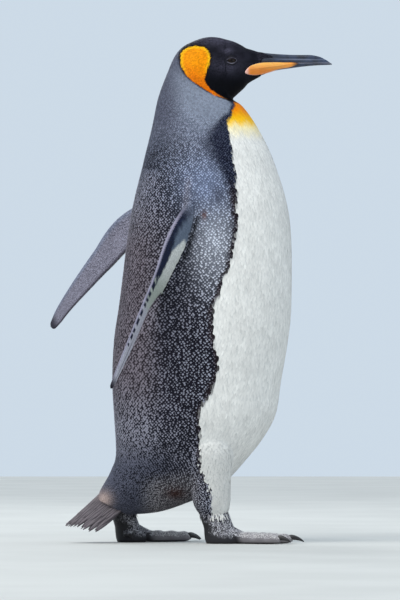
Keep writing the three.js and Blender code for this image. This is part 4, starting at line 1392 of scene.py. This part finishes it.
def plate_material():
    """Mandible plate: waxy orange, lighter to peach towards the top as a painted highlight, pinkish white at
    the rear rim.
    """
    m = Nodes("bill_plate")
    x, z = m.axis(0), m.axis(2)
    cloud, lines = m.noise(110.0, 4.0), m.lines(3.0, [45, 500, 700])
    # Orange below to peach along the top: painted highlight.
    shade = m.mix(m.range(z + cloud * 0.003, 0.826, 0.8435), (228, 128, 12), (250, 184, 84))
    shade = m.mix(m.range(x, 0.145, 0.19), shade, (240, 150, 48))
    shade = m.mix(m.range(x, 0.106, 0.098) * 0.8, shade, (244, 196, 190))
    rim = m.range(m.attributes("inward")[0], 0.07, 0.0)
    shade = m.mix(rim * m.range(x, 0.13, 0.104, 0.15, 0.75), shade, (246, 206, 200))
    shade = m.mix(m.range(x, 0.176, 0.189), shade, (92, 60, 40))
    shade = m.vary(shade, lines, 0.3, 0.7, 0.9, 1.08)
    m.bump(lines, 0.15, 0.0003)
    return m.finish(shade, cloud, 0.26, 0.42, Subsurface_Weight=0.08, Subsurface_Scale=0.003, Coat_Weight=0.2,
                    Coat_Roughness=0.2)


def eye_material():
    """Dark brown iris with radial fibres round a black pupil, wet and glossy."""
    m = Nodes("eye")
    far, fibres = m.attributes("from_axis")[0], m.noise(900.0, 3.0)
    shade = m.mix(m.range(fibres, 0.3, 0.7), (15, 10, 8), (36, 23, 15))
    shade = m.mix(m.range(far, 0.19, 0.23), (4, 3, 4), shade)
    shade = m.mix(m.range(far, 0.52, 0.60), shade, (12, 8, 8))
    m.bump(fibres, 0.04, 0.0001)
    return m.finish(shade, fibres, 0.04, 0.09, Specular_IOR_Level=0.08, Coat_Weight=0.15, Coat_Roughness=0.02)


def lid_material():
    """Wrinkled grey skin, nearly black at the rim and away from the eye."""
    m = Nodes("lid_skin")
    outward, wrinkle = m.attributes("outward")[0], m.noise(700.0, 4.0)
    shade = m.mix(m.range(m.noise(160.0, 3.0), 0.3, 0.7), (66, 64, 76), (112, 110, 124))
    above = m.range(m.axis(2), 0.842, 0.847) * m.range(m.axis(0), 0.082, 0.076)
    shade = m.mix(above * 0.8, shade, (40, 38, 48))
    shade = m.mix(m.range(outward, 0.08, 0.0), shade, (12, 10, 12))
    shade = m.mix(m.range(outward, 0.16, 0.34), shade, (22, 21, 29))
    m.bump(wrinkle, 0.5, 0.0004)
    return m.finish(shade, wrinkle, 0.5, 0.7, Specular_IOR_Level=0.15)


def foot_material():
    """Scaled feet: grey-lilac plates in black creases, darker behind and on the sole."""
    m = Nodes("foot_skin")
    dome, own, ahead, height = m.attributes("dome", "own", "ahead", "height")
    cloud, grain, toe = m.noise(60.0, 4.0), m.noise(900.0, 3.0), m.range(ahead, 0.3, 0.48)
    on_toe = m.mix(own, (170, 168, 170), (204, 202, 202))
    on_toe = m.mix(m.range(grain, 0.6, 0.68), on_toe, (100, 95, 100))
    scale = m.mix(toe, m.mix(own, (104, 102, 112), (196, 196, 202)), on_toe)
    scale = m.mix(m.range(cloud, 0.5, 0.75) * 0.5, scale, (112, 106, 120))
    shade = m.mix(m.range(dome, 0.2, 0.6), m.mix(toe, (26, 25, 30), (124, 120, 124)), scale)
    patchy = (cloud - 0.5) * 0.25
    shade = m.mix(m.range(ahead + patchy, -0.1, -0.22) * 0.85, shade, (20, 19, 23))
    heel = m.range(height + patchy, 0.42, 0.06) * m.range(ahead, 0.44, 0.16)
    shade = m.mix(heel * 0.7, shade, (34, 32, 38))
    shade = m.mix(m.range(height, 0.09, 0.02), shade, (16, 15, 18))
    m.bump(grain + dome * 1.5, 0.4, 0.0006)
    return m.finish(shade, grain, 0.5, 0.72, Specular_IOR_Level=0.4)


def claw_material():
    m = Nodes("claw_horn")
    lines = m.lines(4.0, [120, 600, 600])
    m.bump(lines, 0.35, 0.0003)
    return m.finish(m.mix(m.range(lines, 0.3, 0.7), (12, 11, 13), (38, 34, 36)), lines, 0.25, 0.5)


def wear(material, *objects):
    for o in objects:
        o.data.materials.clear()
        o.data.materials.append(material)


wear(skin_material(), skin)
wear(plumage("plumage", 0.5), *body_coats, *bill_coats)
wear(plumage("leg_plumage", 0.62), *leg_coats)
wear(plumage("flipper_plumage", 0.42, 0.15), *flipper_coats)
wear(tail_material(), tail)
wear(horn_material(), upper, lower)
wear(plate_material(), *plates)
wear(eye_material(), *eyes)
wear(lid_material(), *lids)
wear(foot_material(), *feet)
wear(claw_material(), *claws)

# ---------- floor, light and camera

MIDDLE = (0.02, SYMMETRY_Y * MM, 0.45)
CAMERA_AT, CAMERA_AIM = Vector((0.0175, -8.025, 0.219)), Vector((0.0175, -0.025, 0.425))


def floor(reach=9000):
    corners = [(-reach, -reach, 0), (reach, -reach, 0), (reach, reach, 0), (-reach, reach, 0)]
    made = make_mesh("floor", corners, np.array([[0, 1, 2, 3]]))
    m = Nodes("floor_paper")
    cloud = m.noise(3.0, 3.0)
    m.bump(m.noise(300.0), 0.05, 0.0005)
    wear(m.finish(m.mix(m.range(cloud, 0.3, 0.7), (188, 189, 186), (196, 197, 194)), cloud, 0.7, 0.8), made)


def aimed(obj, way):
    obj.rotation_mode = "QUATERNION"
    obj.rotation_quaternion = Vector(way).to_track_quat("-Z", "Y")


def lamp(name, where, size, energy, tint):
    data = bpy.data.lights.new(name, "AREA")
    data.shape, data.size, data.energy, data.color = "DISK", size, energy, tint
    made = linked(name, data)
    made.location = where
    aimed(made, Vector(MIDDLE) - Vector(where))


floor()
world = bpy.data.worlds.new("sky")
world.use_nodes = True
world.node_tree.nodes["Background"].inputs[0].default_value = (0.76, 0.88, 1.0, 1)
world.node_tree.nodes["Background"].inputs[1].default_value = 0.8
bpy.context.scene.world = world
bpy.context.scene.view_settings.view_transform = "Standard"
lamp("key", (-2.4, -2.4, 3.4), 1.8, 34, (1.0, 0.95, 0.88))
lamp("fill", (2.4, -2.8, 1.4), 2.4, 12, (0.9, 0.95, 1.0))
lamp("rim", (-1.0, 2.6, 2.6), 1.8, 30, (0.95, 0.98, 1.0))
daylight = bpy.data.lights.new("daylight", "SUN")
daylight.energy, daylight.angle, daylight.color = 1.7, math.radians(50), (1.0, 0.97, 0.92)
aimed(linked("daylight", daylight), (2.0, 2.6, -4.2))

camera = linked("camera", bpy.data.cameras.new("camera"))
camera.location = CAMERA_AT
aimed(camera, CAMERA_AIM - CAMERA_AT)
camera.data.sensor_width = 36
camera.data.lens = 274
camera.data.clip_end = 60
bpy.context.scene.camera = camera
